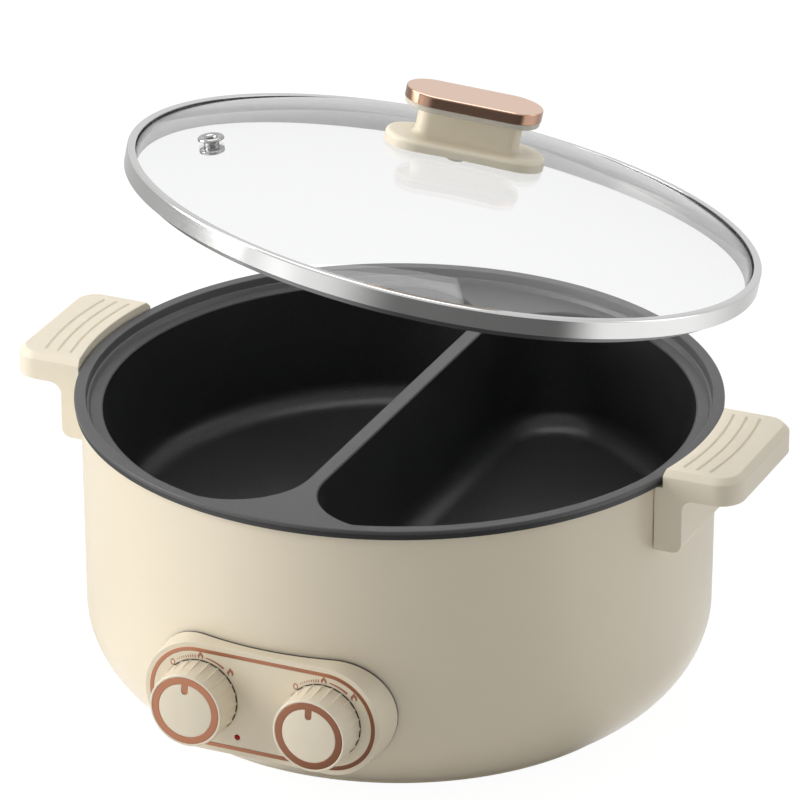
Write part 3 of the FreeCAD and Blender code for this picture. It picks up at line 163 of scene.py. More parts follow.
def finish(name, group, values, bump=0.02, **shader):
    """A material: one effect group feeding a Principled shader."""
    material = bpy.data.materials.new(name)
    material.use_nodes = True
    tree = material.node_tree
    principled = tree.nodes["Principled BSDF"]
    for key, value in shader.items():
        principled.inputs[key.replace("_", " ")].default_value = value
    source = tree.nodes.new("ShaderNodeGroup")
    source.node_tree = group
    for key, value in values.items():
        source.inputs[key].default_value = value
    tree.links.new(source.outputs["Colour"], principled.inputs["Base Color"])
    tree.links.new(source.outputs["Roughness"], principled.inputs["Roughness"])
    relief = node(tree, "Bump", Strength=bump, Distance=0.0002, Height=source.outputs["Height"])
    tree.links.new(relief.outputs[0], principled.inputs["Normal"])
    return material


def moulded(name, colour, gloss, grain=2600.0, tone=0.03, bump=0.03, **shader):
    """Moulded plastic or rubber with a fine grain and slight clouds in its tone."""
    values = {"Colour": (*colour, 1), "Gloss": gloss, "Grain": grain, "Tone": tone}
    return finish(name, moulding, values, bump, **shader)


shell_cream = moulded(
    "Casing cream", cream, 0.36, 1800.0, bump=0.02, Coat_Weight=0.15, Coat_Roughness=0.2)
shell_outline = turned([
    (110.0, shell_low),
    (128.0, shell_low, 0.4),
    (wall_radius, 16.41, 29.3),
    (wall_radius, wall_start),
    (top_radius, shell_top, 0.6),
    (top_radius - wall, shell_top),
    (wall_radius - wall, wall_start),
    (wall_radius - wall, 17.75, 28.0),
    (127.25, shell_low + wall),
    (110.0, shell_low + wall),
])
finished("casing_moulding", shell_outline, shell_cream, "base", ["outer_shell"])


# Base cover, feet and the bolts from below
# The cover is a darker matt moulding with vent slots, held by four sunk steel bolts, and
# its edge carries on under the shell's fuller corner. Four grey silicone feet plug into it.

def dress(material, *names):
    """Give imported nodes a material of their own."""
    for name in names:
        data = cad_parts[name].data
        data.materials.clear()
        data.materials.append(material)


base_cream = moulded("Base cream", (0.60, 0.53, 0.40), 0.55, 3200.0, bump=0.08)
foot_rubber = moulded("Foot rubber", (0.16, 0.155, 0.15), 0.75, 3600.0, 0.08, 0.15)
dress(base_cream, "base_cover")
dress(foot_rubber, "rubber_feet")
edge_low = 3.0
edge_high = 4.9
edge_ring = turned([
    (117.5, edge_low),
    (127.6, edge_low, 0.5),
    (127.6, edge_high, 0.3),
    (117.5, edge_high),
])
edge_cream = moulded("Edge cream", (0.80, 0.715, 0.56), 0.55, 2800.0)
finished("base_edge", edge_ring, edge_cream, "base", [])


# Plain steel hardware
# Bolts, screws, stand tubes, shafts, nuts and inlet pins in zinc-plated steel. They are
# turned or pressed, with fine marks round their axis, and screw the other pieces together.

drawn, given, result = effect(
    "Worked metal",
    [("Vector", "Vector", None), ("Colour", "Color", (0.6, 0.6, 0.6, 1)),
     ("Gloss", "Float", 0.25), ("Lines", "Float", 2500.0), ("Tone", "Float", 0.08)],
    [("Colour", "Color"), ("Roughness", "Float"), ("Height", "Float")])
parts = node(drawn, "SeparateXYZ", i0=given["Vector"]).outputs
out_x = calc(drawn, "MULTIPLY", parts[0], parts[0])
out_y = calc(drawn, "MULTIPLY", parts[1], parts[1])
radius = calc(drawn, "SQRT", calc(drawn, "ADD", out_x, out_y))
around = calc(drawn, "MULTIPLY", calc(drawn, "ARCTAN2", parts[1], parts[0]), 0.004)
ringed = node(drawn, "CombineXYZ", i0=radius, i1=around, i2=parts[2]).outputs[0]
lines = node(drawn, "TexNoise", Vector=ringed, Scale=given["Lines"], Detail=3.0).outputs["Fac"]
haze = node(drawn, "TexNoise", Vector=given["Vector"], Scale=30.0, Detail=4.0).outputs["Fac"]
swing = calc(drawn, "MULTIPLY", calc(drawn, "SUBTRACT", lines, 0.5), given["Tone"])
lightness = calc(drawn, "ADD", 1.0, swing)
tinted = node(drawn, "VectorMath", {"operation": "SCALE"}, i0=given["Colour"], Scale=lightness)
drawn.links.new(tinted.outputs[0], result["Colour"])
blur = calc(drawn, "MULTIPLY", calc(drawn, "SUBTRACT", haze, 0.45), 0.12)
gloss = calc(drawn, "ADD", given["Gloss"], blur)
drawn.links.new(calc(drawn, "ADD", gloss, swing), result["Roughness"])
drawn.links.new(lines, result["Height"])


def metal(name, colour, gloss, lines=2500.0, tone=0.08, bump=0.02, place=None):
    """Worked metal, with its turning marks round the axis of place, a matrix in metres."""
    values = {"Colour": (*colour, 1), "Gloss": gloss, "Lines": lines, "Tone": tone}
    material = finish(name, drawn, values, bump, Metallic=1.0)
    tree = material.node_tree
    source = [n for n in tree.nodes if n.type == "GROUP"][0]
    centre = place or Matrix.Identity(4)
    mapping = node(tree, "Mapping", {"vector_type": "POINT"})
    inverse = centre.inverted()
    mapping.inputs["Location"].default_value = inverse.to_translation()
    mapping.inputs["Rotation"].default_value = inverse.to_euler()
    tree.links.new(node(tree, "TexCoord").outputs["Object"], mapping.inputs["Vector"])
    tree.links.new(mapping.outputs[0], source.inputs["Vector"])
    return material


plain_steel = metal("Plain steel", (0.56, 0.56, 0.55), 0.34)
dress(plain_steel, "pot_bolts", "stand_tubes", "regulator_nuts", "regulator_shaft_left",
      "regulator_shaft_right", "handle_screws", "inlet_pins")


# Heating parts under the pot
# Two bent heater tubes with dark annealed sheaths, a bright rolled reflector below them,
# and the limit thermostats and thermal fuse.

dress(metal("Heater sheath", (0.20, 0.19, 0.18), 0.45), "heater_left", "heater_right")
dress(metal("Reflector sheet", (0.75, 0.75, 0.74), 0.30), "heat_reflector")
black_moulding = moulded("Black moulding", (0.022, 0.022, 0.022), 0.48, 3000.0, bump=0.08)
dress(black_moulding, "limit_thermostats", "regulator_left", "regulator_right")
dress(moulded("Fuse sleeve", (0.78, 0.77, 0.74), 0.5), "thermal_fuse")


# Cast pot
# Die-cast aluminium with two D-shaped wells, drafted so that they leave the mould, and a
# stepped rim. Its dark nonstick coat is satin grey on the rim and blacker in the wells.

rim_z = 154.2
land_z = 147.7
well_depth = 65.0
well_radius = 146.8
divider_half = 3.3
corner_radius = 40.0
corner_x = divider_half + corner_radius
corner_y = math.sqrt((well_radius - corner_radius) ** 2 - corner_x ** 2)
corner_end = math.atan2(corner_y, corner_x)
well_draft = math.radians(3)
floor_round = 12.0
lip_round = 0.8
lip_land = 0.9


def d_mouth(bm, side):
    """Draw one well's outline, three arcs, and return its two straight-side ends."""
    vert = bm.verts.new((side * divider_half, -corner_y, 0))
    first = vert
    for centre, angle, steps in (
        ((side * corner_x, -corner_y, 0), math.pi - corner_end, 28),
        ((0, 0, 0), 2 * corner_end, 96),
        ((side * corner_x, corner_y, 0), math.pi - corner_end, 28),
    ):
        made = bmesh.ops.spin(
            bm, geom=[vert], cent=centre, axis=(0, 0, side), angle=angle, steps=steps)
        vert = [item for item in made["geom_last"] if isinstance(item, bmesh.types.BMVert)][0]
    return first, vert


def add_well(bm, side):
    """One well below its mouth: drafted walls, a rounded floor and a rounded lip."""
    own = bmesh.new()
    first, last = d_mouth(own, side)
    own.edges.new((last, first))
    floor = bmesh.ops.contextual_create(own, geom=own.edges[:])["faces"][0]
    bmesh.ops.subdivide_edges(
        own, edges=[e for e in floor.edges if e.calc_length() > 50], cuts=40, use_grid_fill=False)
    floor = own.faces[:][0]
    for inset in (lip_land, well_depth * math.tan(well_draft)):
        bmesh.ops.inset_region(
            own, faces=[floor], thickness=inset, depth=0, use_even_offset=True,
            use_boundary=True)
    bmesh.ops.translate(own, vec=(0, 0, -well_depth), verts=floor.verts)
    bmesh.ops.bevel(
        own, geom=list(floor.edges), offset=floor_round, offset_type="OFFSET", segments=8,
        profile=0.5, affect="EDGES", material=-1, clamp_overlap=False)
    rim = [e for e in own.edges if e.is_manifold and all(abs(v.co.z) < 1e-6 for v in e.verts)
           and e.calc_face_angle() > 0.5]
    bmesh.ops.bevel(
        own, geom=rim, offset=lip_round, offset_type="OFFSET", segments=4, profile=0.5,
        affect="EDGES", material=-1, clamp_overlap=False)
    bmesh.ops.translate(own, vec=(0, 0, land_z), verts=own.verts)
    add_mesh(bm, own)


def add_mesh(bm, own):
    """Add one bmesh to another and free it."""
    scratch = bpy.data.meshes.new("scratch")
    own.to_mesh(scratch)
    own.free()
    bm.from_mesh(scratch)
    bpy.data.meshes.remove(scratch)


def boundary(bm, level):
    """The open edges at one height."""
    return [e for e in bm.edges
            if e.is_boundary and all(abs(v.co.z - level) < 1e-3 for v in e.verts)]


pot = turned([
    (151.8, land_z),
    (153.0, rim_z - 4.0, 0.8),
    (153.6, rim_z - 4.0, 0.3),
    (154.3, rim_z, 0.5),
    (160.0, rim_z, 0.7),
    (160.0, rim_z - 2.2, 0.5),
    (155.9, rim_z - 2.2),
    (155.9, shell_top + 0.1),
    (154.2, shell_top + 0.1),
    (154.2, land_z - 2.8),
    (149.6, land_z - 2.8),
    (149.6, 79.5, 13.4),
    (0.0, 79.5),
], closed=False)
for face in pot.faces:
    face.material_index = 1 if face.calc_center_median().z > land_z + 0.4 else 0
for side in (-1, 1):
    add_well(pot, side)
rings = boundary(pot, land_z)
land = bmesh.ops.triangle_fill(
    pot, use_beauty=True, use_dissolve=False, edges=rings)["geom"]
for face in land:
    if isinstance(face, bmesh.types.BMFace):
        face.material_index = 1
        if face.normal.z < 0:
            face.normal_flip()
bmesh.ops.remove_doubles(pot, verts=pot.verts, dist=1e-3)
bmesh.ops.recalc_face_normals(pot, faces=pot.faces)
speckle, given, result = effect(
    "Nonstick coating",
    [("Colour", "Color", (0.03, 0.03, 0.03, 1)), ("Gloss", "Float", 0.35),
     ("Fleck", "Float", 0.02)],
    [("Colour", "Color"), ("Roughness", "Float"), ("Height", "Float")])
spot = node(speckle, "TexCoord").outputs["Object"]
cells = node(speckle, "TexVoronoi", Vector=spot, Scale=900.0)
fleck = calc(speckle, "LESS_THAN", cells.outputs["Distance"], 0.16)
fine = node(speckle, "TexNoise", Vector=spot, Scale=2400.0, Detail=2.0).outputs["Fac"]
wide = node(speckle, "TexNoise", Vector=spot, Scale=22.0, Detail=4.0).outputs["Fac"]
bright = calc(speckle, "MULTIPLY", fleck, given["Fleck"])
lift = node(speckle, "CombineXYZ", i0=bright, i1=bright, i2=bright).outputs[0]
mixed = node(speckle, "VectorMath", {"operation": "ADD"}, i0=given["Colour"], i1=lift)
speckle.links.new(mixed.outputs[0], result["Colour"])
worn = calc(speckle, "MULTIPLY", calc(speckle, "SUBTRACT", wide, 0.5), 0.16)
speckle.links.new(calc(speckle, "ADD", given["Gloss"], worn), result["Roughness"])
grit = calc(speckle, "ADD", fine, calc(speckle, "MULTIPLY", fleck, 0.4))
speckle.links.new(grit, result["Height"])
smooth_black = {"Colour": (0.014, 0.014, 0.015, 1), "Gloss": 0.34, "Fleck": 0.05}
satin_grey = {"Colour": (0.07, 0.07, 0.072, 1), "Gloss": 0.38, "Fleck": 0.03}
well_coating = finish("Well coating", speckle, smooth_black, 0.12)
rim_coating = finish("Rim coating", speckle, satin_grey, 0.10)
pot_piece = finished("cast_pot", pot, well_coating, "base", ["inner_pot"], 40)
pot_piece.data.materials.append(rim_coating)


# Black collar
# A thin ring in black heat-resistant plastic that keeps the hot lip off the shell. It is
# moulded in one piece and lies loose between the two.

collar_low, collar_high = [corner.z * 1000 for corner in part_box("rim_collar")]
collar = turned([
    (156.2, collar_low),
    (159.5, collar_low, 0.3),
    (159.5, collar_high, 0.3),
    (156.2, collar_high),
])
finished("collar", collar, black_moulding, "base", ["rim_collar"])


# Panel housing, copper line and fascia
# A drafted cream moulding against the shell, with a dark joint round its foot, holds a
# raised fascia and a copper-plated line, all softly rounded. They are 1 to 2 mm larger
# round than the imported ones, as the photograph shows them.

def softened(name, width, segments=3, angle=28, join=True):
    """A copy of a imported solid, merged, with its sharp edges rounded."""
    bm = bmesh.new()
    bm.from_mesh(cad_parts[name].data)
    bmesh.ops.transform(bm, matrix=Matrix.Scale(1000, 4), verts=bm.verts)
    bmesh.ops.remove_doubles(bm, verts=bm.verts, dist=2e-3)
    if join:
        bmesh.ops.dissolve_limit(bm, angle_limit=math.radians(0.3), verts=bm.verts, edges=bm.edges)
    sharp = [e for e in bm.edges if e.is_manifold and e.calc_face_angle() > math.radians(angle)]
    bmesh.ops.bevel(
        bm, geom=sharp, offset=width, offset_type="OFFSET", segments=segments, profile=0.5,
        affect="EDGES", material=-1, clamp_overlap=False)
    bmesh.ops.triangulate(bm, faces=[f for f in bm.faces if len(f.verts) > 4])
    return bm


def spread(bm, beyond, amount, forward, level=-159.7):
    """Move what is in front of a level and beyond a distance from the spine outwards."""
    for vert in bm.verts:
        nearest = max(-panel_spine, min(panel_spine, vert.co.x))
        away = vert.co - Vector((nearest, vert.co.y, knob_z))
        if vert.co.y < level and away.length > beyond:
            vert.co += away.normalized() * amount
        if vert.co.y < face_level:
            vert.co.y -= forward
    return bm


knob_z = 54.6
panel_spine = 33.6
face_level = -161.5
panel_cream = moulded(
    "Panel cream", cream, 0.34, 2400.0, Coat_Weight=0.15, Coat_Roughness=0.2)
housing_cream = moulded(
    "Housing cream", cream, 0.34, 2400.0, Coat_Weight=0.15, Coat_Roughness=0.2)
bend_level = 0.0462
bend_middle = 0.11136
bend_round = 0.04424
wall_taper = 0.0107
joint_inner = 0.0015
joint_outer = 0.0018
tree = housing_cream.node_tree
parts = node(tree, "SeparateXYZ", i0=node(tree, "TexCoord").outputs["Object"]).outputs
flat = node(tree, "CombineXYZ", i0=parts[0], i1=parts[1]).outputs[0]
out = node(tree, "VectorMath", {"operation": "LENGTH"}, i0=flat).outputs["Value"]
above = calc(tree, "SUBTRACT", parts[2], bend_level)
beyond = calc(tree, "SUBTRACT", out, bend_middle)
corner = node(tree, "CombineXYZ", i0=beyond, i1=calc(tree, "MINIMUM", above, 0.0)).outputs[0]
reach = node(tree, "VectorMath", {"operation": "LENGTH"}, i0=corner).outputs["Value"]
widening = calc(tree, "MULTIPLY", calc(tree, "MAXIMUM", above, 0.0), wall_taper)
clear = calc(tree, "SUBTRACT", reach, calc(tree, "ADD", bend_round, widening))
joint = node(tree, "MapRange", Value=clear, From_Min=joint_inner, From_Max=joint_outer,
             To_Min=0.04, To_Max=1.0).outputs[0]
plain = [n for n in tree.nodes if n.type == "GROUP"][0].outputs["Colour"]
tinted = node(tree, "VectorMath", {"operation": "SCALE"}, i0=plain, Scale=joint).outputs[0]
tree.links.new(tinted, tree.nodes["Principled BSDF"].inputs["Base Color"])
copper = metal("Copper line", (0.42, 0.19, 0.115), 0.32, 3000.0, 0.05, 0.01)
housing = spread(softened("panel_housing", 0.45), 25.5, 1.2, 0.0, level=0.0)
finished("panel_housing_moulding", housing, housing_cream, "base",
         ["panel_housing"])
fascia = spread(softened("panel_fascia", 0.2), 20.9, 1.9, 0.3)
finished("fascia", fascia, panel_cream, "base", ["panel_fascia"])
copper_line = spread(softened("panel_trim_ring", 0.12, 2), 0.0, 1.9, 0.35)
finished("copper_line", copper_line, copper, "base", ["panel_trim_ring"])


# Dial marks
# Copper-coloured ink pressed on the fascia round each knob: a zero at the off place, a
# row of growing dots, a small flame, a tapering arc and a larger flame.

knob_x = (-32.4, 32.4)
fascia_y = -162.3
ink_depth = 0.06
mark_radius = 21.2


def knob_stand(x, level):
    """Stands what is drawn round Z in front of the panel, on a knob's axis."""
    return Matrix.Translation((x, level, knob_z)) @ Matrix.Rotation(math.pi / 2, 4, "X")


def at_clock(bm, verts, degrees, radius=mark_radius, upright=False):
    """Move marks drawn at the origin to a place on the clock, seen from the front."""
    turn = Matrix.Rotation(-math.radians(degrees), 4, "Z")
    if upright:
        turn = Matrix.Translation(turn @ Vector((0, radius, 0)) - Vector((0, radius, 0)))
    bmesh.ops.translate(bm, vec=(0, radius, 0), verts=verts)
    bmesh.ops.transform(bm, matrix=turn, verts=verts)


def arc_mark(bm, start, end, width_a, width_b, steps=14):
    """A flat arc whose width changes evenly from one end to the other."""
    low = bm.verts.new((0, -width_a / 2, 0))
    high = bm.verts.new((0, width_a / 2, 0))
    edge = bm.edges.new((low, high))
    at_clock(bm, [low, high], start)
    step = math.radians(end - start) / steps
    grow = (width_b - width_a) / steps
    for number in range(steps):
        made = bmesh.ops.extrude_edge_only(bm, edges=[edge])["geom"]
        ends = [g for g in made if isinstance(g, bmesh.types.BMVert)]
        edges = [g for g in made if isinstance(g, bmesh.types.BMEdge)]
        edge = [e for e in edges if all(v in ends for v in e.verts)][0]
        turn = Matrix.Rotation(-step, 3, "Z")
        bmesh.ops.rotate(bm, cent=(0, 0, 0), matrix=turn, verts=ends)
        for vert in ends:
            outward = 1 if vert.co.length > mark_radius else -1
            vert.co *= 1 + outward * grow / 2 / mark_radius


def flame_mark(bm, degrees, radius, height):
    """A printed flame: two tongues round an open heart."""
    outside = [(-0.02, 0.55), (0.13, 0.34), (0.19, 0.20), (0.26, 0.27), (0.36, 0.06),
               (0.41, -0.16), (0.33, -0.37), (0.17, -0.49)]
    heart = [(0.21, -0.30), (0.13, -0.12), (0.02, 0.04), (-0.10, -0.12), (-0.19, -0.30)]
    far_side = [(-0.15, -0.49), (-0.32, -0.37), (-0.41, -0.14), (-0.35, 0.06),
                (-0.23, 0.20), (-0.12, 0.36)]
    shape = outside + heart + far_side
    verts = [bm.verts.new((x * height, y * height, 0)) for x, y in shape]
    bm.faces.new(verts)
    at_clock(bm, verts, degrees, radius, upright=True)


def thicken(bm, faces, height):
    """Give flat faces a height along Z."""
    grown = bmesh.ops.extrude_face_region(bm, geom=faces)["geom"]
    tops = [g for g in grown if isinstance(g, bmesh.types.BMVert)]
    bmesh.ops.translate(bm, vec=(0, 0, height), verts=tops)


def zero_mark(bm, degrees):
    """The figure nought, an upright ring."""
    inner = bmesh.ops.create_circle(bm, cap_ends=False, segments=24, radius=1.0)["verts"]
    outer = bmesh.ops.create_circle(bm, cap_ends=False, segments=24, radius=1.55)["verts"]
    rings = [e for e in bm.edges if e.verts[0] in inner + outer]
    bmesh.ops.bridge_loops(bm, edges=rings)
    bmesh.ops.scale(bm, vec=(0.8, 1.15, 1), verts=inner + outer)
    at_clock(bm, inner + outer, degrees, upright=True)


dots = 9
dot_radius = 0.27
dot_growth = 0.012
first_dot = -34
dot_step = 3.4
ink = moulded("Copper ink", (0.40, 0.165, 0.11), 0.5, tone=0.02)
for x, name in zip(knob_x, ("left", "right")):
    marks = bmesh.new()
    zero_mark(marks, -43)
    for dot in range(dots):
        verts = bmesh.ops.create_circle(
            marks, cap_ends=True, segments=10, radius=dot_radius + dot * dot_growth)["verts"]
        bmesh.ops.scale(marks, vec=(0.8, 1.5 + dot * 0.14, 1), verts=verts)
        at_clock(marks, verts, first_dot + dot * dot_step)
    flame_mark(marks, 0.7, 21.8, 3.8)
    arc_mark(marks, 8.5, 36, 0.6, 1.2)
    flame_mark(marks, 45, 22.6, 4.3)
    bmesh.ops.triangulate(marks, faces=[f for f in marks.faces if len(f.verts) > 4])
    bmesh.ops.recalc_face_normals(marks, faces=marks.faces)
    thicken(marks, marks.faces[:], ink_depth)
    bmesh.ops.recalc_face_normals(marks, faces=marks.faces)
    bmesh.ops.transform(marks, matrix=knob_stand(x, fascia_y), verts=marks.verts)
    finished("dial_marks_" + name, marks, ink, "base", [])


# Indicator
# A dark red plastic lens pressed into the fascia, left of its middle, over a small lamp
# with the same red body.

lens_red = moulded("Lens red", (0.36, 0.001, 0.001), 0.4, tone=0.0, Specular_IOR_Level=0.2)
dress(lens_red, "indicator_lens", "indicator_lamp")


# Control knobs
# Moulded cream knobs with shallow scallops that fade towards the front, each with a sunk
# copper ring and pointer and a domed disc. They push onto the regulators' D shafts. A thin
# dark ring behind each, on the fascia, is painted shade seen between the ridges.

knob_front = -179.5
knob_base = -162.7
knob_cream = moulded(
    "Knob cream", (0.82, 0.74, 0.585), 0.33, 2400.0, Coat_Weight=0.15, Coat_Roughness=0.2)
ridges = 24
scallop_depth = 0.72
scallop_end = 15.5
scallop_run = 13
side_radius = 18.7
# Dark brown for the ring behind each knob: painted shade between the ridges.
painted_shade_brown = moulded("Painted shade brown", (0.075, 0.063, 0.046), 0.7)
for x, name in zip(knob_x, ("left", "right")):
    body = "knob_" + name
    skirt = turned([
        (17.5, 0.0),
        (17.0, 13.6),
        (6.0, 13.6),
        (6.0, 6.0),
        (3.1, 6.0),
        (3.1, 12.6),
        (0.0, 12.6),
        (0.0, 15.6),
        (17.5, 15.6),
        (17.5, 16.8, 0.35),
        (18.8, 16.8, 0.6),
        (19.05, 11.5),
        (19.25, 8.0),
        (19.45, 4.0),
        (19.7, 0.0),
    ], steps=ridges * 12)
    for vert in skirt.verts:
        out = math.hypot(vert.co.x, vert.co.y)
        if out > side_radius and vert.co.z < scallop_end:
            turn = (math.atan2(vert.co.y, vert.co.x) / math.tau * ridges) % 1.0
            across = min(1.0, abs(turn - 0.5) * 2)
            fade = min(1.0, (scallop_end - vert.co.z) / scallop_run)
            hollow = max(0.0, 1 - across ** 6) * scallop_depth * fade
            vert.co.x *= 1 - hollow / out
            vert.co.y *= 1 - hollow / out
    bmesh.ops.transform(skirt, matrix=knob_stand(x, knob_base), verts=skirt.verts)
    finished("knob_skirt_" + name, skirt, knob_cream, body, ["knob_" + name], 32)
    finished("pointer_ring_" + name, softened("knob_ring_" + name, 0.12, 2), copper, body,
             ["knob_ring_" + name])
    disc = softened("knob_disc_" + name, 0.16, 2, join=False)
    pole = [v for v in disc.verts
            if v.co.y < knob_front + 4 and math.hypot(v.co.x - x, v.co.z - knob_z) < 0.5]
    bmesh.ops.dissolve_verts(disc, verts=pole)
    finished("domed_disc_" + name, disc, knob_cream, body, ["knob_disc_" + name])
    # A thin dark ring on the fascia behind the knob: painted shade that shows in the scallops.
    shade_ring = turned([
        (12.0, 0.05),
        (19.62, 0.05, 0.1),
        (19.62, 0.33, 0.1),
        (12.0, 0.33),
    ], steps=96)
    bmesh.ops.transform(shade_ring, matrix=knob_stand(x, fascia_y), verts=shade_ring.verts)
    finished("knob_shade_ring_" + name, shade_ring, painted_shade_brown, "base", [])


# Handles
# Solid cream mouldings screwed to the shell from inside, with a chamfered top edge and
# three curved grip grooves that run concentric with the lip.

handle_cream = moulded("Handle cream", (0.82, 0.745, 0.60), 0.40, 2000.0, bump=0.05)
for name in ("left", "right"):
    handle = softened("handle_" + name, 0.5)
    finished("handle_moulding_" + name, handle, handle_cream, "base",
             ["handle_" + name], 40)


# Power inlet
# A black socket in heat-resistant plastic at the back, moulded with its flange, that
# holds three plated pins. The casing here has no opening for it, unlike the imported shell.

finished("inlet_moulding", softened("inlet_socket", 0.4, 2), black_moulding, "base",
         ["inlet_socket"])


# Lid glass and its steel band
# A 4 mm tempered dome in a band rolled from stainless sheet: a flange over the glass, a
# ledge under it and a skirt that drops inside the lip; its inner faces carry painted shade.

lid_raised = 95.3
lid_shift = 25.1
lid_tilt = math.radians(12.58)
tilt_towards = math.radians(50)
lid_turn = math.radians(-28.5)
lid_place = (
    Matrix.Rotation(tilt_towards, 4, "Z")
    @ Matrix.Translation((lid_shift, 0, rim_z + lid_raised))
    @ Matrix.Rotation(lid_tilt, 4, "Y")
    @ Matrix.Rotation(lid_turn, 4, "Z"))


def in_metres(place):
    """The same place with its middle given in metres, for a pattern's mapping."""
    return Matrix.Translation(place.to_translation() * 0.001) @ place.to_3x3().to_4x4()


lid_metres = in_metres(lid_place)
glass_thickness = 4.0
glass_top = 28.2
glass_edge = -2.5
glass_radius = 156.6
hole = 3.0
rise = glass_top - glass_edge
dome_radius = ((glass_radius - hole) ** 2 + rise ** 2) / (2 * rise)
dome_angle = math.asin((glass_radius - hole) / dome_radius)


def on_lid(bm):
    """Put a piece drawn round the lid's own axis in its raised place."""
    bmesh.ops.transform(bm, matrix=lid_place, verts=bm.verts)
    return bm


dome = bmesh.new()
ends = []
for level in (glass_top, glass_top - glass_thickness):
    start = dome.verts.new((hole, 0, level))
    arc = bmesh.ops.spin(
        dome, geom=[start], cent=(hole, 0, level - dome_radius), axis=(0, 1, 0),
        angle=dome_angle, steps=48)
    last = [g for g in arc["geom_last"] if isinstance(g, bmesh.types.BMVert)][0]
    ends.append((start, last))
dome.edges.new((ends[0][0], ends[1][0]))
dome.edges.new((ends[0][1], ends[1][1]))
clear_glass = bpy.data.materials.new("Clear glass")
clear_glass.use_nodes = True
tree = clear_glass.node_tree
pane = tree.nodes["Principled BSDF"]
pane.inputs["Base Color"].default_value = (0.90, 0.905, 0.905, 1)
pane.inputs["Transmission Weight"].default_value = 1.0
pane.inputs["IOR"].default_value = 1.47
spot = node(tree, "TexCoord").outputs["Object"]
film = node(tree, "TexNoise", Vector=spot, Scale=18.0, Detail=6.0).outputs["Fac"]
haze = calc(tree, "MULTIPLY", calc(tree, "POWER", film, 4.0), 0.05)
tree.links.new(haze, pane.inputs["Roughness"])
ray = node(tree, "LightPath").outputs["Is Shadow Ray"]
opacity = calc(tree, "SUBTRACT", 1.0, calc(tree, "MULTIPLY", ray, 0.9))
tree.links.new(opacity, pane.inputs["Alpha"])
finished("lid_dome", on_lid(spun(dome)), clear_glass, "lid", ["lid_glass"], 50)

rim_steel = metal(
    "Rolled steel band", (0.62, 0.62, 0.615), 0.13, 1600.0, 0.05, 0.015, lid_metres)
# A dark copy of the band's steel for its inside: painted shade under the glass.
band_painted_shade = metal(
    "Band inside painted shade", (0.17, 0.17, 0.17), 0.2, 1600.0, 0.3, 0.015, lid_metres)
band_outer = 157.7
inner_face = 156.9
ledge_radius = 150.8
band = turned([
    (band_outer, -9.3, 0.3),
    (band_outer, 0.0, 1.2),
    (153.7, 0.0, 0.35),
    (153.7, -0.8),
    (inner_face, -0.8),
    (inner_face, -6.8),
    (ledge_radius, -6.8, 0.4),
    (ledge_radius, -13.3, 0.25),
    (151.6, -13.3, 0.25),
    (151.6, -7.6, 0.3),
    (inner_face, -7.6),
    (inner_face, -9.3, 0.25),
])
# Inner faces below the top take the dark copy: painted shade.
for face in band.faces:
    centre = face.calc_center_median()
    inside = math.hypot(centre.x, centre.y) < inner_face + 0.05
    face.material_index = 1 if inside and centre.z < -0.5 else 0
band_piece = finished("steel_band", on_lid(band), rim_steel, "lid", ["lid_rim"])
band_piece.data.materials.append(band_painted_shade)


# Steam vent
# A rolled steel eyelet through the glass, with a flange above and below. Its upper flange
# stands about 2 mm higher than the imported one, as the photograph shows it.

vent_out = 118.3
vent_turn = math.radians(187.2)
lean = math.asin(vent_out / dome_radius)
vent_height = glass_top - dome_radius * (1 - math.cos(lean))
vent_place = (
    lid_place
    @ Matrix.Rotation(vent_turn, 4, "Z")
    @ Matrix.Translation((vent_out, 0, vent_height))
    @ Matrix.Rotation(lean, 4, "Y"))
eyelet = turned([
    (2.4, -6.2),
    (6.2, -6.2, 0.3),
    (6.2, -4.6, 0.6),
    (3.7, -4.3, 0.3),
    (3.7, 2.3, 0.4),
    (6.5, 2.4, 0.35),
    (6.5, 3.8, 0.75),
    (5.0, 4.2, 0.5),
    (3.2, 3.7, 0.5),
    (2.4, 2.6),
], steps=64)
bmesh.ops.transform(eyelet, matrix=vent_place, verts=eyelet.verts)
vent_steel = metal(
    "Vent steel", (0.42, 0.42, 0.415), 0.16, 3000.0, 0.05, 0.01, in_metres(vent_place))
finished("steam_eyelet", eyelet, vent_steel, "lid", ["steam_vent"])


# Lid knob
# A cream moulding with a long foot on the glass and a narrow neck, a thin plate and a
# polished rose-gold cap. One enamelled screw holds it through the glass, over a silicone
# washer. It stands 3.6 mm off the lid's middle, as the photograph shows it.

def stadium(bm, length, width, level):
    """A flat face with straight sides and half-round ends, its length along X."""
    half = (length - width) / 2
    vert = bm.verts.new((half, -width / 2, level))
    first = vert
    for centre in ((half, 0, level), (-half, 0, level)):
        made = bmesh.ops.spin(
            bm, geom=[vert], cent=centre, axis=(0, 0, 1), angle=math.pi, steps=40)
        vert = [g for g in made["geom_last"] if isinstance(g, bmesh.types.BMVert)][0]
        if centre[0] > 0:
            far = bm.verts.new((-half, width / 2, level))
            bm.edges.new((vert, far))
            vert = far
    bm.edges.new((vert, first))
    return bmesh.ops.contextual_create(bm, geom=bm.edges[:])["faces"][0]


def slab(length, width, low, high, edges):
    """A slab with half-round ends; edges gives each level's rounding and its segments."""
    bm = bmesh.new()
    thicken(bm, [stadium(bm, length, width, low)], high - low)
    for level, (size, segments) in edges.items():
        rim = [e for e in bm.edges if all(abs(v.co.z - level) < 1e-4 for v in e.verts)]
        bmesh.ops.bevel(
            bm, geom=rim, offset=size, offset_type="OFFSET", segments=segments, profile=0.5,
            affect="EDGES", material=-1, clamp_overlap=False)
    bmesh.ops.recalc_face_normals(bm, faces=bm.faces)
    return bm


def dome_level(x, y):
    """Height of the glass in the lid's own frame."""
    out = math.hypot(x, y)
    return glass_top - dome_radius + math.sqrt(dome_radius ** 2 - out ** 2)


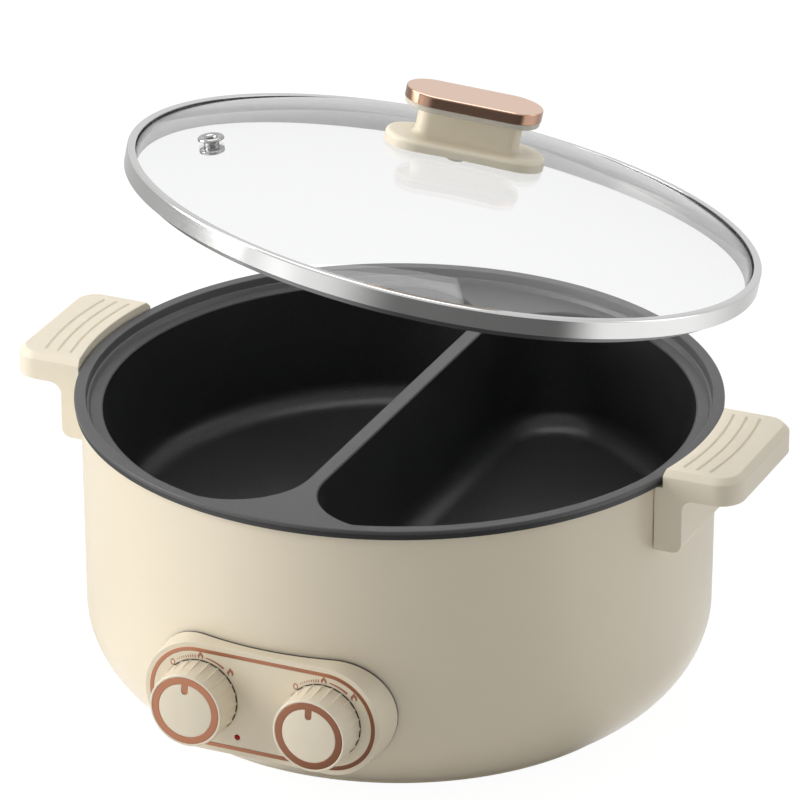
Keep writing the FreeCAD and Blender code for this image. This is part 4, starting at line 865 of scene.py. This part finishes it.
foot_low = 26.0
seat_top = 32.7
neck_top = 47.3
plate_top = 50.2
cap_top = 56.0
neck_length = 51.5
neck_width = 13.0
foot = bmesh.new()
thicken(foot, [stadium(foot, 79.0, 34.4, foot_low)], seat_top - foot_low)
for vert in foot.verts:
    if vert.co.z < foot_low + 1:
        vert.co.z = dome_level(vert.co.x, vert.co.y) + 0.3
rim = [e for e in foot.edges if all(abs(v.co.z - seat_top) < 1e-4 for v in e.verts)]
bmesh.ops.bevel(
    foot, geom=rim, offset=2.2, offset_type="OFFSET", segments=8, profile=0.5, affect="EDGES",
    material=-1, clamp_overlap=False)
deck = max(foot.faces, key=lambda f: f.calc_center_median().z)
bmesh.ops.delete(foot, geom=[deck], context="FACES_ONLY")
neck = bmesh.new()
stadium(neck, neck_length, neck_width, neck_top)
neck_half = (neck_length - neck_width) / 2
straight = (neck_top - seat_top - 3.0, 0)
flare_steps = ((1.15, 0.23), (0.97, 0.65), (0.62, 0.95), (0.26, 1.17))
ring = neck.edges[:]
for drop, flare in (straight, *flare_steps):
    made = bmesh.ops.extrude_edge_only(neck, edges=ring)["geom"]
    lower = [g for g in made if isinstance(g, bmesh.types.BMVert)]
    edges = [g for g in made if isinstance(g, bmesh.types.BMEdge)]
    ring = [e for e in edges if all(v in lower for v in e.verts)]
    for vert in lower:
        spine = Vector((max(-neck_half, min(neck_half, vert.co.x)), 0, vert.co.z))
        vert.co += (vert.co - spine).normalized() * flare
        vert.co.z -= drop
add_mesh(foot, neck)
bmesh.ops.triangle_fill(
    foot, use_beauty=True, use_dissolve=False, edges=boundary(foot, seat_top))
bmesh.ops.remove_doubles(foot, verts=foot.verts, dist=1e-3)
bmesh.ops.recalc_face_normals(foot, faces=foot.faces)
off_middle = Matrix.Translation((3.5, -1.0, 0))
grip_cream = moulded(
    "Grip cream", (0.90, 0.82, 0.655), 0.36, 2400.0, Coat_Weight=0.1, Coat_Roughness=0.25)
plate_cream = moulded("Plate cream", (0.72, 0.67, 0.57), 0.40, 2400.0)
rose_gold = metal("Rose gold cap", (0.76, 0.52, 0.395), 0.17, 900.0, 0.04, 0.01, lid_metres)
# A darker copy of the rose gold for the cap's sides: a painted dark reflection.
rose_gold_painted_dark_side = metal(
    "Rose gold painted dark side", (0.40, 0.245, 0.175), 0.14, 900.0, 0.04, 0.01, lid_metres)
silicone = moulded("Clear silicone", (0.80, 0.80, 0.79), 0.4, Transmission_Weight=0.4)
dress(silicone, "lid_knob_washer")
dress(moulded("White enamel", (0.86, 0.86, 0.84), 0.4), "lid_knob_screw")
bmesh.ops.transform(foot, matrix=off_middle, verts=foot.verts)
finished("grip", on_lid(foot), grip_cream, "lid", ["lid_knob_grip"], 45)
plate = slab(66.6, 30.0, neck_top, plate_top, {neck_top: (0.9, 4)})
bmesh.ops.transform(plate, matrix=off_middle, verts=plate.verts)
finished("grip_plate", on_lid(plate), plate_cream, "lid", ["lid_knob_plate"])
cap = slab(67.6, 31.1, plate_top, cap_top, {cap_top: (0.8, 5), plate_top: (0.3, 3)})
bmesh.ops.transform(cap, matrix=off_middle, verts=cap.verts)
# Side faces take the darker copy: painted dark reflection.
for face in cap.faces:
    face.material_index = 1 if abs(face.normal.z) < 0.5 else 0
cap_piece = finished("rose_gold_cap", on_lid(cap), rose_gold, "lid",
                     ["lid_knob_cap"])
cap_piece.data.materials.append(rose_gold_painted_dark_side)


# Floor, light and camera
# A pale floor, a white surround and three soft lamps, the strongest at the left. Polished
# parts see the floor darker in front and brighter at both sides, as if cards lay on it.
# The camera is a long lens from the right front, as the photograph was taken.

def lamp(name, place, aim, size, power, colour=(1, 1, 1)):
    """A square or oblong soft lamp turned towards a point."""
    data = bpy.data.lights.new(name, "AREA")
    data.shape = "RECTANGLE"
    data.size, data.size_y = size
    data.energy = power
    data.color = colour
    made = bpy.data.objects.new(name, data)
    made.location = place
    made.rotation_euler = (Vector(aim) - Vector(place)).to_track_quat("-Z", "Y").to_euler()
    scene.collection.objects.link(made)


def ray_kinds(tree):
    """Masks for what is seen directly or through glass, and for what is seen mirrored."""
    path = node(tree, "LightPath").outputs
    direct = calc(tree, "LESS_THAN", path["Glossy Depth"], 0.5)
    looked_at = calc(tree, "MAXIMUM", path["Is Camera Ray"], path["Is Transmission Ray"])
    seen = calc(tree, "MULTIPLY", looked_at, direct)
    indirect = calc(tree, "SUBTRACT", 1.0, direct)
    bounced = calc(tree, "SUBTRACT", indirect, path["Is Diffuse Ray"])
    return seen, calc(tree, "MAXIMUM", bounced, 0.0)


middle = (0, 0, 0.12)
lamp("left_softbox", (-1.55, -0.75, 0.75), middle, (1.1, 1.3), 25.5, (1.0, 0.985, 0.96))
lamp("right_softbox", (1.5, 0.7, 0.6), middle, (0.7, 1.2), 3.2)
lamp("top_softbox", (-0.2, 0.3, 1.9), middle, (1.4, 1.4), 13)

soft_light = 0.33
mirror_light = 0.9
world = bpy.data.worlds.new("Studio")
scene.world = world
world.use_nodes = True
tree = world.node_tree
back = tree.nodes["Background"]
back.inputs["Color"].default_value = (1, 1, 1, 1)
seen, mirrored = ray_kinds(tree)
sheen = calc(tree, "MULTIPLY", mirrored, mirror_light)
brightness = calc(tree, "MAXIMUM", seen, calc(tree, "MAXIMUM", sheen, soft_light))
tree.links.new(brightness, back.inputs["Strength"])

floor = bmesh.new()
bmesh.ops.create_grid(floor, x_segments=1, y_segments=1, size=8.0)
floor_mesh = bpy.data.meshes.new("floor")
floor.to_mesh(floor_mesh)
floor.free()
floor_piece = bpy.data.objects.new("floor", floor_mesh)
scene.collection.objects.link(floor_piece)
pale = bpy.data.materials.new("Pale floor")
pale.use_nodes = True
tree = pale.node_tree
ground = tree.nodes["Principled BSDF"]
ground.inputs["Roughness"].default_value = 0.9
ground.inputs["Emission Strength"].default_value = 1.0
parts = node(tree, "SeparateXYZ", i0=node(tree, "TexCoord").outputs["Object"]).outputs
angle = calc(tree, "ARCTAN2", parts[1], parts[0])
turn = calc(tree, "ADD", calc(tree, "DIVIDE", angle, math.tau), 0.5)
ramp = node(tree, "ValToRGB", i0=turn)
ramp.color_ramp.interpolation = "EASE"
left_card = ((0.12, 0.66), (0.156, 1.0), (0.19, 0.7))
dark_card = ((0.278, 0.07), (0.419, 0.06))
right_card = ((0.47, 0.75), (0.55, 0.8), (0.661, 0.45))
tones = ((0.0, 0.30), (0.03, 0.26), *left_card, *dark_card, *right_card, (1.0, 0.30))
for place, _ in tones[2:]:
    ramp.color_ramp.elements.new(place)
for mark, (place, tone) in zip(ramp.color_ramp.elements, tones):
    mark.position = place
    mark.color = (tone, tone, tone, 1)
seen, mirrored = ray_kinds(tree)
lit = calc(tree, "SUBTRACT", 1.0, calc(tree, "MAXIMUM", seen, mirrored))
grey = calc(tree, "ADD", calc(tree, "MULTIPLY", lit, 0.80), 0.06)
pale_grey = node(tree, "CombineXYZ", i0=grey, i1=grey, i2=grey).outputs[0]
tree.links.new(pale_grey, ground.inputs["Base Color"])
shine = calc(tree, "MULTIPLY", mirrored, 1.6)
glow = node(tree, "VectorMath", {"operation": "SCALE"}, i0=ramp.outputs[0], Scale=shine)
screen = calc(tree, "MULTIPLY", seen, 0.96)
white = node(tree, "CombineXYZ", i0=screen, i1=screen, i2=screen).outputs[0]
total = node(tree, "VectorMath", {"operation": "ADD"}, i0=glow.outputs[0], i1=white).outputs[0]
tree.links.new(total, ground.inputs["Emission Color"])
floor_mesh.materials.append(pale)

camera = bpy.data.objects.new("camera", bpy.data.cameras.new("camera"))
camera.data.lens = 298.98
camera.data.sensor_width = 36.0
camera.data.clip_end = 50.0
to_camera = Vector((0.36830, -0.83051, 0.41813))
to_right = Vector((0.91415, 0.40538, 0.0))
to_top = to_camera.cross(to_right)
camera.matrix_world = Matrix.Translation((1.20460, -2.71570, 1.51590)) @ Matrix(
    (to_right, to_top, to_camera)).transposed().to_4x4()
scene.collection.objects.link(camera)
scene.camera = camera
scene.view_settings.view_transform = "Standard"
